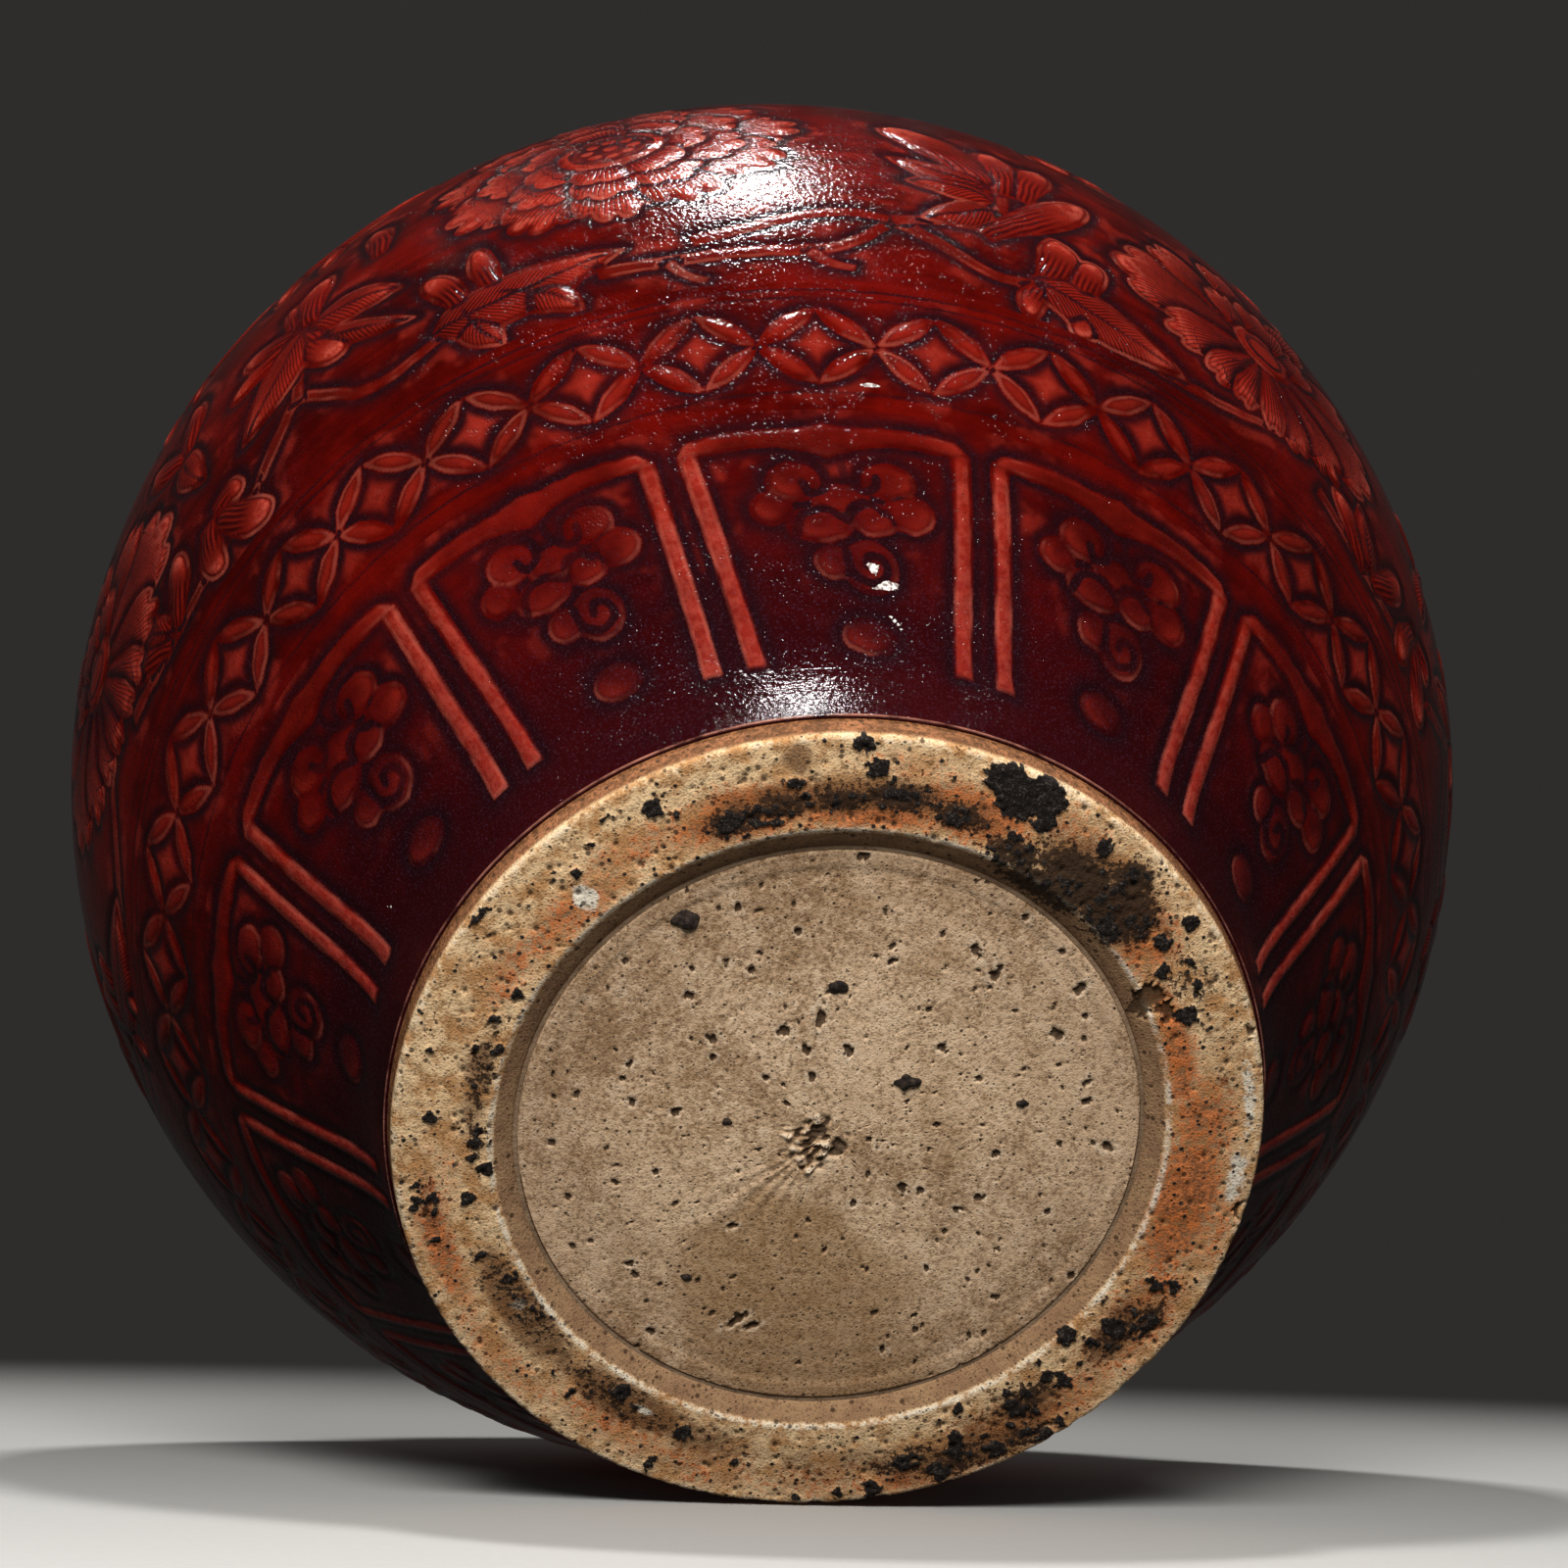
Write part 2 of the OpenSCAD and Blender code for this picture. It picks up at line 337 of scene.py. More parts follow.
class Sheet:
    """A flat sheet of carving, in mm. It repeats in x."""

    LAYERS = ("lift", "edge", "line", "comb", "combed", "thin")

    def __init__(self, width, low, high):
        self.width = width
        self.low = low
        self.columns = round(width / PITCH)
        self.rows = round((high - low) / PITCH) + 1
        self.step = width / self.columns
        for layer in self.LAYERS:
            setattr(self, layer, np.zeros((self.rows, self.columns)))
        self.edge -= FAR_OFF
        self.line += FAR_OFF

    def windows(self, points):
        """Each part of the sheet that some points can reach, with its grid moved to where the points are."""
        for turn in (-self.width, 0, self.width):
            low = (points.min(0) + (turn, -self.low) - REACH) // self.step
            high = (points.max(0) + (turn, -self.low) + REACH) // self.step + 2
            c0, c1 = max(0, int(low[0])), min(self.columns, int(high[0]))
            r0, r1 = max(0, int(low[1])), min(self.rows, int(high[1]))
            if c0 < c1 and r0 < r1:
                across = np.arange(c0, c1) * self.step - turn
                upward = self.low + np.arange(r0, r1) * self.step
                yield np.s_[r0:r1, c0:c1], *np.meshgrid(across, upward)

    def carve(self, *motifs, rise=0.3, cut=0.28, bevel=2.8, thin=0.4, split=0.0):
        """Raises the union of some motifs, with a groove cut round it.

        A motif is an outline and its strokes, which give the combing and how thin the glaze lies, or None.
        Split is the depth of the cuts between motifs that overlap.
        """
        for part, x, y in self.windows(np.concatenate([outline for outline, _ in motifs])):
            best = np.full(x.shape, -ENDLESS)
            other = best.copy()
            finish = [np.zeros(x.shape)] * 3
            for outline, strokes in motifs:
                away, within = distance(x, y, outline, True)
                d = np.where(within, away, -away)
                wins = d > best
                other = np.where(wins, best, np.maximum(other, d))
                best = np.where(wins, d, best)
                own = strokes(x, y) if strokes else (0.0, 0.0, thin)
                finish = [np.where(wins, new, old) for new, old in zip(own, finish)]
            inside = best > 0
            old = self.lift[part]
            bottom = np.maximum(old - cut, np.minimum(old, -DEEPEST * cut))
            wall = smooth(0, bevel, best)
            groove = old + (bottom - old) * np.exp(-((np.minimum(best, 0) / GROOVE_W) ** 2))
            self.lift[part] = np.where(inside, bottom * (1 - wall) + rise * wall, groove)
            closer = inside | (-best < np.abs(self.edge[part]))
            self.edge[part] = np.where(closer, best, self.edge[part])
            between = np.where(inside & (other > 0), (best - other) / 2, FAR_OFF)
            self.lift[part] -= split * np.exp(-((between / SPLIT_W) ** 2))
            drawn = between + SPLIT_FAINT if split else FAR_OFF
            self.line[part] = np.where(inside, drawn, self.line[part])
            phase, strength, thinness = finish
            self.comb[part] = np.where(inside, phase, self.comb[part])
            strength = strength * smooth(*COMB_FADE, best) * smooth(*SPLIT_FADE, best - other)
            self.combed[part] = np.where(inside, strength, self.combed[part])
            self.thin[part] = np.where(inside, thinness, self.thin[part])

    def incise(self, line, depth=0.12, width=0.7, faint=0.0):
        """Cuts a thin groove along an open line. A faint one is drawn less dark."""
        for part, x, y in self.windows(line):
            away, _ = distance(x, y, line, False)
            self.lift[part] -= depth * np.exp(-((away / width) ** 2))
            self.line[part] = np.minimum(self.line[part], away + faint)

    def swell(self, outline, rise, thin):
        """Lifts an outline into a soft pillow with thin glaze on its top, and cuts nothing."""
        for part, x, y in self.windows(outline):
            away, within = distance(x, y, outline, True)
            pillow = np.where(within, smooth(0, PILLOW, away), 0)
            self.lift[part] += rise * pillow
            self.thin[part] = np.maximum(self.thin[part], thin * pillow)

    def sample(self, x, y):
        """The layers' values at each place, read between the sheet's points."""
        c = np.mod(x / self.step, self.columns)
        r = np.clip((y - self.low) / self.step, 0, self.rows - 1.001)
        c0, r0 = np.floor(c).astype(int), np.floor(r).astype(int)
        u, v = c - c0, r - r0
        c0 %= self.columns
        c1 = (c0 + 1) % self.columns
        found = {}
        for name in self.LAYERS:
            layer = getattr(self, name)
            lower = layer[r0, c0] * (1 - u) + layer[r0, c1] * u
            upper = layer[r0 + 1, c0] * (1 - u) + layer[r0 + 1, c1] * u
            found[name] = lower * (1 - v) + upper * v
        return found


print("Sheet pitch", PITCH, "mm")

# %% [markdown]
# ## Shapes that the carver repeats
# All the patterns come from a few strokes: a leaf, a scalloped petal, a round lobe and a stem. Each
# function gives an outline. The leaf and the petal also give their strokes: the combing, which fans out
# from the base, how strong it is, and how thin the glaze lies towards the tip.

# %% Carver's shapes
COMB_GAP = 1.4
VEIN_SLANT = 1.2
STEM_END = 0.35


def turn_by(angle):
    """Unit vector for an angle in degrees."""
    return np.array([math.cos(math.radians(angle)), math.sin(math.radians(angle))])


def off_angle(angle, middle):
    """The way from a middle angle to each angle, from -180 to 180 degrees."""
    return (angle - middle + 180) % 360 - 180


def leaf(base, tip, width, bend=0.0, pointed=True, steps=18):
    """A leaf: a pointed blade with veins off its spine, or a round-ended finger combed along its length."""
    base, tip = np.asarray(base, float), np.asarray(tip, float)
    length = np.linalg.norm(tip - base)
    along = (tip - base) / length
    across = np.array([-along[1], along[0]])
    t = 1 - (1 - np.linspace(0, 1, steps)) ** 1.6
    spine = base + np.outer(t * length, along) + np.outer(bend * np.sin(np.pi * t), across)
    blade = np.sin(np.pi * t**0.7) ** 0.75
    finger = (0.55 + 0.45 * smooth(0, 0.6, t)) * np.sqrt(1 - np.clip((t - 0.55) / 0.45, 0, 1) ** 2.4)
    half = width / 2 * (blade if pointed else finger)
    outline = np.concatenate([spine + half[:, None] * across, (spine - half[:, None] * across)[::-1]])

    def strokes(x, y):
        a = (x - base[0]) * along[0] + (y - base[1]) * along[1]
        b = (x - base[0]) * across[0] + (y - base[1]) * across[1]
        share = np.clip(a / length, 0, 1)
        b = b - bend * np.sin(np.pi * share)
        if pointed:
            out = np.abs(b) / (width / 2)
            thin = 0.1 + 0.75 * smooth(0.4, 0.95, share) + 0.25 * smooth(0.3, 0.8, out)
            strength = smooth(0.95, 0.55, share) * smooth(0.95, 0.6, out)
            return (a - VEIN_SLANT * np.abs(b)) / COMB_GAP, strength, thin
        return b / COMB_GAP, smooth(0.66, 0.36, share), 0.05 + 0.9 * smooth(0.4, 0.95, share)

    return outline, spine, strokes


def petal(base, angle, spread, reach, lobes, scallop=0.09, steps=8):
    """A fan-shaped petal with a scalloped edge, and combing that spreads from its base."""
    base = np.asarray(base, float)
    edge = np.linspace(-1, 1, lobes * steps + 1)
    rounding = 1 - 0.22 * edge**2
    bumps = np.abs(np.sin(np.pi * lobes * (edge + 1) / 2)) ** 0.6
    radius = reach * rounding * (1 - scallop + scallop * bumps)
    a = np.radians(angle + spread / 2 * edge)
    rim = base + radius[:, None] * np.stack([np.cos(a), np.sin(a)], 1)
    side = np.linspace(0.25, 0.85, 4)[:, None]
    first, last = rim[0] - base, rim[-1] - base
    outline = np.concatenate([base + first * side * 0.96, rim, base + last * side[::-1] * 0.96])

    def strokes(x, y):
        dx, dy = x - base[0], y - base[1]
        off = off_angle(np.degrees(np.arctan2(dy, dx)), angle)
        out = np.hypot(dx, dy) / reach
        phase = off / spread * reach * math.radians(spread) / COMB_GAP
        return phase, smooth(0.2, 0.4, out) * smooth(0.98, 0.84, out), 0.05 + 0.8 * smooth(0.5, 0.95, out)

    return outline, strokes


def lobe(centre, half_w, half_h, steps=28):
    """A round or oval lobe."""
    a = np.linspace(0, 2 * math.pi, steps, endpoint=False)
    return np.asarray(centre) + np.stack([half_w * np.cos(a), half_h * np.sin(a)], 1)


def through(points, steps=8):
    """A smooth open line through the given points."""
    p = np.asarray(points, float)
    p = np.concatenate([[2 * p[0] - p[1]], p, [2 * p[-1] - p[-2]]])
    t = np.linspace(0, 1, steps, endpoint=False)[:, None]
    parts = [
        0.5 * (2 * b + (c - a) * t + (2 * a - 5 * b + 4 * c - d) * t**2 + (3 * b - a - 3 * c + d) * t**3)
        for a, b, c, d in zip(p, p[1:], p[2:], p[3:])
    ]
    return np.concatenate([*parts, p[-2:-1]])


def stem(points, width):
    """A band of clay along a smooth line, a little narrower at its end."""
    line = through(points)
    way = np.gradient(line, axis=0)
    across = np.stack([-way[:, 1], way[:, 0]], 1) / np.linalg.norm(way, axis=1)[:, None]
    half = np.linspace(width / 2, width * STEM_END, len(line))[:, None]
    return np.concatenate([line + half * across, (line - half * across)[::-1]])


print("Comb gap", COMB_GAP, "mm")

# %% [markdown]
# ## Twelve lotus panels
# Tall frames stand round the foot like the petals of a lotus. Each has two upright ribs, a top bar that
# rises to a small point, and a spray of cloud scrolls with a pearl below it. One panel is drawn and read
# twelve times. The ribs keep their width in mm while the wall flares out, so their outline follows the
# radius.

# %% Lotus panel sheet
PANELS = 12
PANEL_R = 110.0
PANEL_PITCH = 2 * math.pi * PANEL_R / PANELS
PANEL_FOOT = 17.0
PANEL_TOP = 71.2
PANEL_END = 76.0
MARGIN = 4.0
RIB_GAP = 2.1
RIB_W = 4.3
RIB_STOP = 2.4
RIB_SWELL = 0.2
RIB_POINTS = 12
BAR_POINTS = 41
BAR_W = 3.6
BAR_ARCH = 0.9
BAR_POINT = 1.7
BAR_DROOP = 2.6
BAR_CUSP = 3.3
MID = PANEL_PITCH / 2
FRAME_CUT = {"rise": 0.3, "cut": 0.24, "bevel": 1.6}
CLOUD_CUT = {"rise": 0.19, "cut": 0.28, "bevel": 2.2, "split": 0.14}
# Lobes are told by their middle and by half their width and height.
UPPER_CLOUD = [
    (-12.6, 53.2, 4.2, 4.0), (-7.4, 59.0, 5.2, 4.7), (-4.0, 49.0, 6.6, 4.2), (0.8, 54.6, 5.8, 3.8),
    (10.6, 59.4, 5.4, 4.4), (14.0, 52.4, 5.3, 4.6), (6.6, 50.4, 4.8, 4.0),
]
LOWER_CLOUD = [(-2.6, 40.4, 4.4, 4.0), (4.8, 39.6, 6.0, 6.2)]
PEARL = (2.4, 24.0, 6.3, 4.5)
# The glaze thins on the side of a lobe that looks away from its cloud's heart.
UPPER_HEART = (1.0, 64.0)
LOWER_HEART = (1.5, 45.0)
PEARL_HEART = (5.0, 28.0)
LOBE_THIN = 0.08
LOBE_TIP = 0.36
CURL_DEPTH = 0.22
CURL_W = 1.0
CURL_BOLD = -0.25
CURLS = [
    [(-3.6, 64.0), (-1.2, 61.2), (-1.8, 57.2), (-4.6, 56.2), (-5.8, 58.6)],
    [(2.0, 64.4), (2.4, 60.4), (4.8, 57.2), (7.6, 57.6), (8.2, 60.0)],
    [(1.6, 50.0), (3.2, 53.4), (6.4, 54.0), (8.8, 52.0)],
    [(-9.0, 46.8), (-6.8, 51.4), (-2.4, 52.4), (0.6, 50.6)],
    [(0.2, 43.2), (0.8, 38.6), (4.2, 36.2), (8.0, 38.0), (7.4, 41.6), (4.6, 42.0), (4.0, 40.0)],
]


def panel_edge(run, inset):
    """How far from the panel's middle a rib's edge lies, on the sheet, at an inset from the border."""
    r = wall_at(run)[0]
    return (math.pi * r / PANELS - inset) * PANEL_R / r


def panel_bar(x):
    """Upper and lower edge of the top bar: arched with a small point above, and a hanging cusp below."""
    off = np.abs(x)
    upper = PANEL_TOP + BAR_ARCH * np.sin(np.pi * off) + BAR_POINT * np.exp(-((off / 0.09) ** 1.3))
    upper -= BAR_DROOP * smooth(0.86, 1.0, off) ** 2
    lower = PANEL_TOP - BAR_W - BAR_CUSP * np.clip(1 - off / 0.45, 0, 1) ** 1.6
    return upper, lower


def panel_frame(sheet):
    """Two ribs and the bar over them."""
    rise = np.linspace(PANEL_FOOT, PANEL_TOP - RIB_STOP, RIB_POINTS)
    outer, inner = panel_edge(rise, RIB_GAP), panel_edge(rise, RIB_GAP + RIB_W)
    share = np.linspace(-1, 1, BAR_POINTS)
    upper, lower = panel_bar(share)
    bar = np.concatenate([np.stack([share, upper], 1), np.stack([share, lower], 1)[::-1]]) * (outer[-1], 1)
    ribs = [np.concatenate([np.stack([side * outer, rise], 1), np.stack([side * inner, rise], 1)[::-1]])
            for side in (-1, 1)]

    def thin_rib(_, y):
        return 0.0, 0.0, 0.1 + 0.54 * smooth(PANEL_TOP - 2, PANEL_TOP - 6, y)

    def thin_bar(x, _):
        return 0.0, 0.0, 0.12 + 0.45 * smooth(0.6, 0.97, np.abs(x - MID) / outer[-1])

    sheet.carve((bar + (MID, 0), thin_bar), *[(rib + (MID, 0), thin_rib) for rib in ribs], **FRAME_CUT)
    for rib in ribs:
        sheet.swell(rib + (MID, 0), RIB_SWELL, 0.0)


def cloud_lobes(places, heart):
    """Lobes of a cloud, with thin glaze on the side away from its heart."""
    motifs = []
    for x, y, half_w, half_h in places:
        away = np.subtract((x, y), heart)
        way = away / np.linalg.norm(away)

        def strokes(px, py, x=x, y=y, half=half_w, way=way):
            outward = ((px - MID - x) * way[0] + (py - y) * way[1]) / half
            return 0.0, 0.0, LOBE_THIN + LOBE_TIP * smooth(-0.2, 0.9, outward)

        motifs.append((lobe((MID + x, y), half_w, half_h), strokes))
    return motifs


def panel_spray(sheet):
    """The cloud spray with its curls, and the pearl inside a panel."""
    for places, heart in (([PEARL], PEARL_HEART), (UPPER_CLOUD, UPPER_HEART), (LOWER_CLOUD, LOWER_HEART)):
        sheet.carve(*cloud_lobes(places, heart), **CLOUD_CUT)
    for points in CURLS:
        sheet.incise(through(np.array(points) + (MID, 0)), CURL_DEPTH, CURL_W, CURL_BOLD)


panel_sheet = Sheet(PANEL_PITCH, 0.0, PANEL_END + MARGIN)
panel_spray(panel_sheet)
panel_frame(panel_sheet)
print(f"Lotus panel {PANEL_PITCH:.1f} mm wide")
print(f"Its lift is {panel_sheet.lift.min():.2f} to {panel_sheet.lift.max():.2f} mm")

# %% [markdown]
# ## Linked coins
# Above the panels runs a chain of coins: circles that overlap by halves, so that each shows four pointed
# petals round a hollow-sided diamond. Fine lines turned on the wheel close the band on both sides. One coin
# is drawn and read all the way round.

# %% Coin sheet
COINS = 36
COIN_R = 138.0
COIN_PITCH = 2 * math.pi * COIN_R / COINS
COIN_LOW = 82.5
COIN_HIGH = 103.0
COIN_END = 111.0
COIN_PETAL_W = 5.2
COIN_CUT = {"rise": 0.24, "cut": 0.26, "bevel": 2.6, "thin": 0.4}
DIAMOND = (0.8, 0.95)
DIAMOND_SWELL = (0.24, 0.56)
BORDER_RUNS = (80.2, 105.6, 108.2)
BORDER_LINE = (0.05, 0.8, 0.3)


def pointed_oval(start, end, width, steps=9):
    """Two shallow arcs that meet in points."""
    start, end = np.asarray(start, float), np.asarray(end, float)
    along = end - start
    across = np.array([-along[1], along[0]]) / np.linalg.norm(along)
    t = np.linspace(0, 1, steps)
    half = 2 * width * t * (1 - t)
    middle = start + np.outer(1.06 * t - 0.03, along)
    return np.concatenate([middle + np.outer(half, across), (middle - np.outer(half, across))[-2:0:-1]])


def coin_band(sheet, low, high, petal_w):
    """One coin of a chain: four petals and the hollow-sided diamond between them."""
    pitch, middle = sheet.width, (low + high) / 2
    half_h = (high - low) / 2
    a = np.radians(np.arange(0, 360, 10))
    diamond = np.stack([DIAMOND[0] * pitch / 2 * np.cos(a) ** 3, DIAMOND[1] * half_h * np.sin(a) ** 3], 1)
    sheet.swell(diamond + (pitch / 2, middle), *DIAMOND_SWELL)
    for side in (0, pitch):
        for rise in (-half_h, half_h):
            outline = pointed_oval((side, middle), (pitch / 2, middle + rise), petal_w)
            sheet.carve((outline, None), **COIN_CUT)


def border_lines(sheet, runs):
    """Fine grooves right round the jar."""
    for run in runs:
        sheet.incise(np.array([(-REACH, run), (sheet.width + REACH, run)]), *BORDER_LINE)


coin_sheet = Sheet(COIN_PITCH, PANEL_END - MARGIN, COIN_END + MARGIN)
coin_band(coin_sheet, COIN_LOW, COIN_HIGH, COIN_PETAL_W)
border_lines(coin_sheet, BORDER_RUNS)
print("Coins every", round(COIN_PITCH, 1), "mm")

# %% [markdown]
# ## Peony scroll
# The belly carries a wandering stem with peonies seen from the front and from the side, and leaves in
# sprays between them. The same third of the pattern comes three times round the jar, with its side-on bloom
# a little further on each time. Places are given as degrees from the middle of the front-facing bloom and
# as runs up the wall. A leaf is told by its base, its tip, its width, and whether it is pointed.

# %% Places of the peony scroll
SCROLL_R = 160.0
DEG = math.radians(1) * SCROLL_R
SCROLL_LOW = 111.0
SCROLL_MID = 169.0
SCROLL_HIGH = 227.0
BLOOM_RUN = 173.7
SIDE_BLOOM_RUN = 148.0
SIDE_BLOOMS_AT = (54.0, 57.0, 61.0)
LEFT_STEMS = [
    ([(-35, 122.7), (-32, 129), (-29.2, 134.5), (-26.8, 129), (-23.8, 121.5), (-20, 120.2), (-13, 125)], 4.2),
    ([(-29.2, 134.5), (-28, 147), (-26.7, 161)], 3.6),
    ([(-58, 120), (-50, 116.5), (-42, 118), (-35, 122.7)], 3.8),
]
LEFT_LEAVES = [
    [(-41, 129, -42, 112.5, 10, False), (-40, 130, -36, 127.5, 8, False),
     (-39.8, 127, -34.8, 112.5, 11, False)],
    [(-27.5, 160, -27.6, 177, 7.5, False), (-26.8, 160, -33.2, 168.4, 9, False),
     (-27, 159, -35.2, 157.3, 8, False), (-26.5, 159, -24.2, 179, 12, False),
     (-27, 152, -17.2, 132.7, 8, True), (-26.5, 157, -17.6, 146.7, 12, True),
     (-27, 159, -24.1, 137, 11, False), (-26.2, 160, -35.3, 137.3, 15, True)],
    [(-13.5, 125.5, -16.2, 144.4, 8.5, False), (-10.4, 126, -11.6, 146.5, 7.5, False),
     (-13.8, 126, -11.4, 110.5, 11, True), (-10.5, 126.5, -4.6, 112, 12, True),
     (-17, 124.6, -0.4, 127.8, 16, True)],
    [(-19.2, 169, -19.6, 188, 8, False)],
    [(-40.6, 161, -38.6, 180, 9, False), (-41, 161, -45.4, 174, 9.5, False),
     (-41, 160, -39.4, 141.5, 10.5, True)],
    [(-48.6, 118, -44.6, 133.5, 9.5, False), (-49, 118.4, -52.8, 136, 10, True),
     (-50, 117, -56.5, 128, 9, False)],
]
RIGHT_STEMS = [
    ([(-3, 121.5), (2.7, 120.4), (8.7, 120.7), (14.7, 121.1), (18, 125.3), (20.6, 133)], 4.2),
    ([(4.5, 126), (8.7, 128.5), (12.7, 132), (17, 134.5), (20.6, 133)], 3.8),
    ([(20.6, 133), (24, 127.5), (28.7, 120.6), (33, 123)], 4.2),
    ([(20.6, 133), (25.7, 138), (29, 146), (29.6, 156)], 3.6),
    ([(2.5, 120), (3.6, 115.8), (5.4, 112.8)], 3.2),
    ([(13.8, 120.5), (15.2, 116.8), (17.4, 115.2)], 3.2),
    ([(33, 121), (42, 114.5), (50, 116.5), (56, 124)], 3.8),
]
RIGHT_LEAVES = [
    [(33.2, 123.5, 31.6, 110.5, 8, False), (35.4, 122.5, 36.9, 110, 10, False),
     (33, 123.4, 34.3, 142.5, 12, False), (36, 122, 37.5, 139.2, 10.5, False),
     (31.5, 124.4, 46.6, 116.6, 15, True)],
    [(27.7, 134.4, 36.9, 166, 11, False), (28.7, 146.5, 22.6, 136, 11, True),
     (28.9, 150.6, 21.6, 151.6, 11, True), (31, 155, 33.5, 179.3, 11, False),
     (29.7, 155, 28.9, 181, 12, False), (28.8, 156, 20.4, 162.8, 12, True),
     (28.8, 158, 20.8, 185, 15, False)],
]
print("Scroll:", sum(map(len, LEFT_LEAVES + RIGHT_LEAVES)), "leaves in a third")

# %% [markdown]
# ## Carving the scroll
# A leaf is several blades and fingers that grow together, so they are carved as one union with shallow cuts
# where they overlap. A bloom is built from the outside in: each petal is carved over the ones before it, as
# they lie on the real flower. The sprays of the upper half aren't in the photograph, so they are the lower
# ones turned over.

# %% Peony scroll sheet
FIRST_BLOOM = 253.0
UPPER_SHIFT = 334.0
LEAF_BEND = 0.12
LEAF_CUT = {"rise": 0.41, "cut": 0.33, "bevel": 3.4, "split": 0.18}
SPINE_LINE = (0.1, 0.7, 0.1)
STEM_CUT = {"rise": 0.06, "cut": 0.1, "bevel": 2.4, "thin": 0.35}
BLOOM_CUT = {"rise": 0.26, "cut": 0.18}
EYE_CUT = {"rise": 0.36, "thin": 0.6}
SEED_CUT = {"rise": 0.42, "cut": 0.1, "bevel": 1.2}
CUP_CUT = {"rise": 0.36}
SPINE_STOP = 4
SEEDS = 8
SEED_RING = 5
# A lobe has half its width and height, and a small one its count of points.
BLOOM_EYE = (11.5, 10.5)
BLOOM_EYE_LINE = (8.6, 7.8)
SEED = (1.6, 1.5, 12)
MIDDLE_SEED = (1.8, 1.7, 12)
CUP_EYE = (9.0, 6.5)
CUP_EYE_LINE = (5.5, 3.6)
CUP_SHIFT = (0, 2)
# A ring of petals has its count, half width and height, spread, scallops and first angle.
BLOOM_RINGS = [(11, 41.0, 36.0, 42, 4, 5), (9, 30.0, 26.5, 48, 3, 22), (7, 21.0, 19.0, 60, 2, 0)]
# A petal of the side-on bloom has its angle, spread, reach and scallops.
SIDE_PETALS = [
    (182, 46, 43, 3), (-2, 46, 43, 3), (150, 34, 37, 2), (30, 34, 37, 2), (212, 34, 34, 3), (-32, 34, 34, 3),
    (112, 30, 36, 2), (68, 30, 36, 2), (238, 30, 29, 2), (302, 30, 29, 2), (258, 26, 27, 2), (282, 26, 27, 2),
]
CUP_PETALS = [(128, 44, 24, 3), (52, 44, 24, 3), (90, 50, 26, 3)]


def on_sheet(deg, run):
    """A place on the scroll's sheet."""
    return np.array([deg * DEG, run])


def carve_leaves(sheet, leaves, place):
    """Leaves that grow together into one, with the spines of its blades cut in."""
    motifs, spines = [], []
    for i, (d0, run0, d1, run1, width, pointed) in enumerate(leaves):
        bend = width * (LEAF_BEND if i % 2 else -LEAF_BEND)
        outline, spine, strokes = leaf(place(d0, run0), place(d1, run1), width, bend, pointed)
        motifs.append((outline, strokes))
        if pointed:
            spines.append(spine[:-SPINE_STOP])
    sheet.carve(*motifs, **LEAF_CUT)
    for spine in spines:
        sheet.incise(spine, *SPINE_LINE)


def front_bloom(sheet, deg):
    """A peony seen from the front: three rings of scalloped petals round a seeded eye."""
    centre = on_sheet(deg, BLOOM_RUN)
    for count, wide, high, spread, lobes, first in BLOOM_RINGS:
        for i in range(count):
            angle = first + 360 * i / count
            reach = math.hypot(wide * math.cos(math.radians(angle)), high * math.sin(math.radians(angle)))
            sheet.carve(petal(centre, angle, spread, reach, lobes), **BLOOM_CUT)
    sheet.carve((lobe(centre, *BLOOM_EYE), None), **EYE_CUT)
    sheet.incise(lobe(centre, *BLOOM_EYE_LINE))
    for i in range(SEEDS):
        seed = centre + SEED_RING * turn_by(360 * i / SEEDS)
        sheet.carve((lobe(seed, *SEED), None), **SEED_CUT)
    sheet.carve((lobe(centre, *MIDDLE_SEED), None), **SEED_CUT)


def side_bloom(sheet, deg):
    """A peony seen from the side: a cup with spread petals and hanging ones."""
    heart = on_sheet(deg, SIDE_BLOOM_RUN)
    for angle, spread, reach, lobes in SIDE_PETALS:
        sheet.carve(petal(heart, angle, spread, reach, lobes))
    for angle, spread, reach, lobes in CUP_PETALS:
        sheet.carve(petal(heart - CUP_SHIFT, angle, spread, reach, lobes), **CUP_CUT)
    sheet.carve((lobe(heart + CUP_SHIFT, *CUP_EYE), None), **CUP_CUT)
    sheet.incise(lobe(heart + CUP_SHIFT, *CUP_EYE_LINE))


def spray(sheet, deg, stems, leaves, flip=False):
    """A spray of stems and leaves. A flipped one hangs from the top of the band."""
    def place(d, run):
        return on_sheet(deg + d, UPPER_SHIFT - run if flip else run)

    for points, width in stems:
        line = stem([place(d, run) for d, run in points], width)
        sheet.carve((line, None), **STEM_CUT)
    for group in leaves:
        carve_leaves(sheet, group, place)


def scroll_third(sheet, deg, side_at):
    """One third of the scroll, from one front bloom to the next."""
    spray(sheet, deg + 2, RIGHT_STEMS[:1] + RIGHT_STEMS[2:3], RIGHT_LEAVES[:1], flip=True)
    spray(sheet, deg + 22, [], RIGHT_LEAVES[:1], flip=True)
    spray(sheet, deg + 92, LEFT_STEMS[:1], LEFT_LEAVES[2:3], flip=True)
    spray(sheet, deg + 107, [], LEFT_LEAVES[2:3], flip=True)
    spray(sheet, deg, LEFT_STEMS, LEFT_LEAVES)
    spray(sheet, deg, RIGHT_STEMS, RIGHT_LEAVES)
    side_bloom(sheet, deg + side_at)
    front_bloom(sheet, deg)


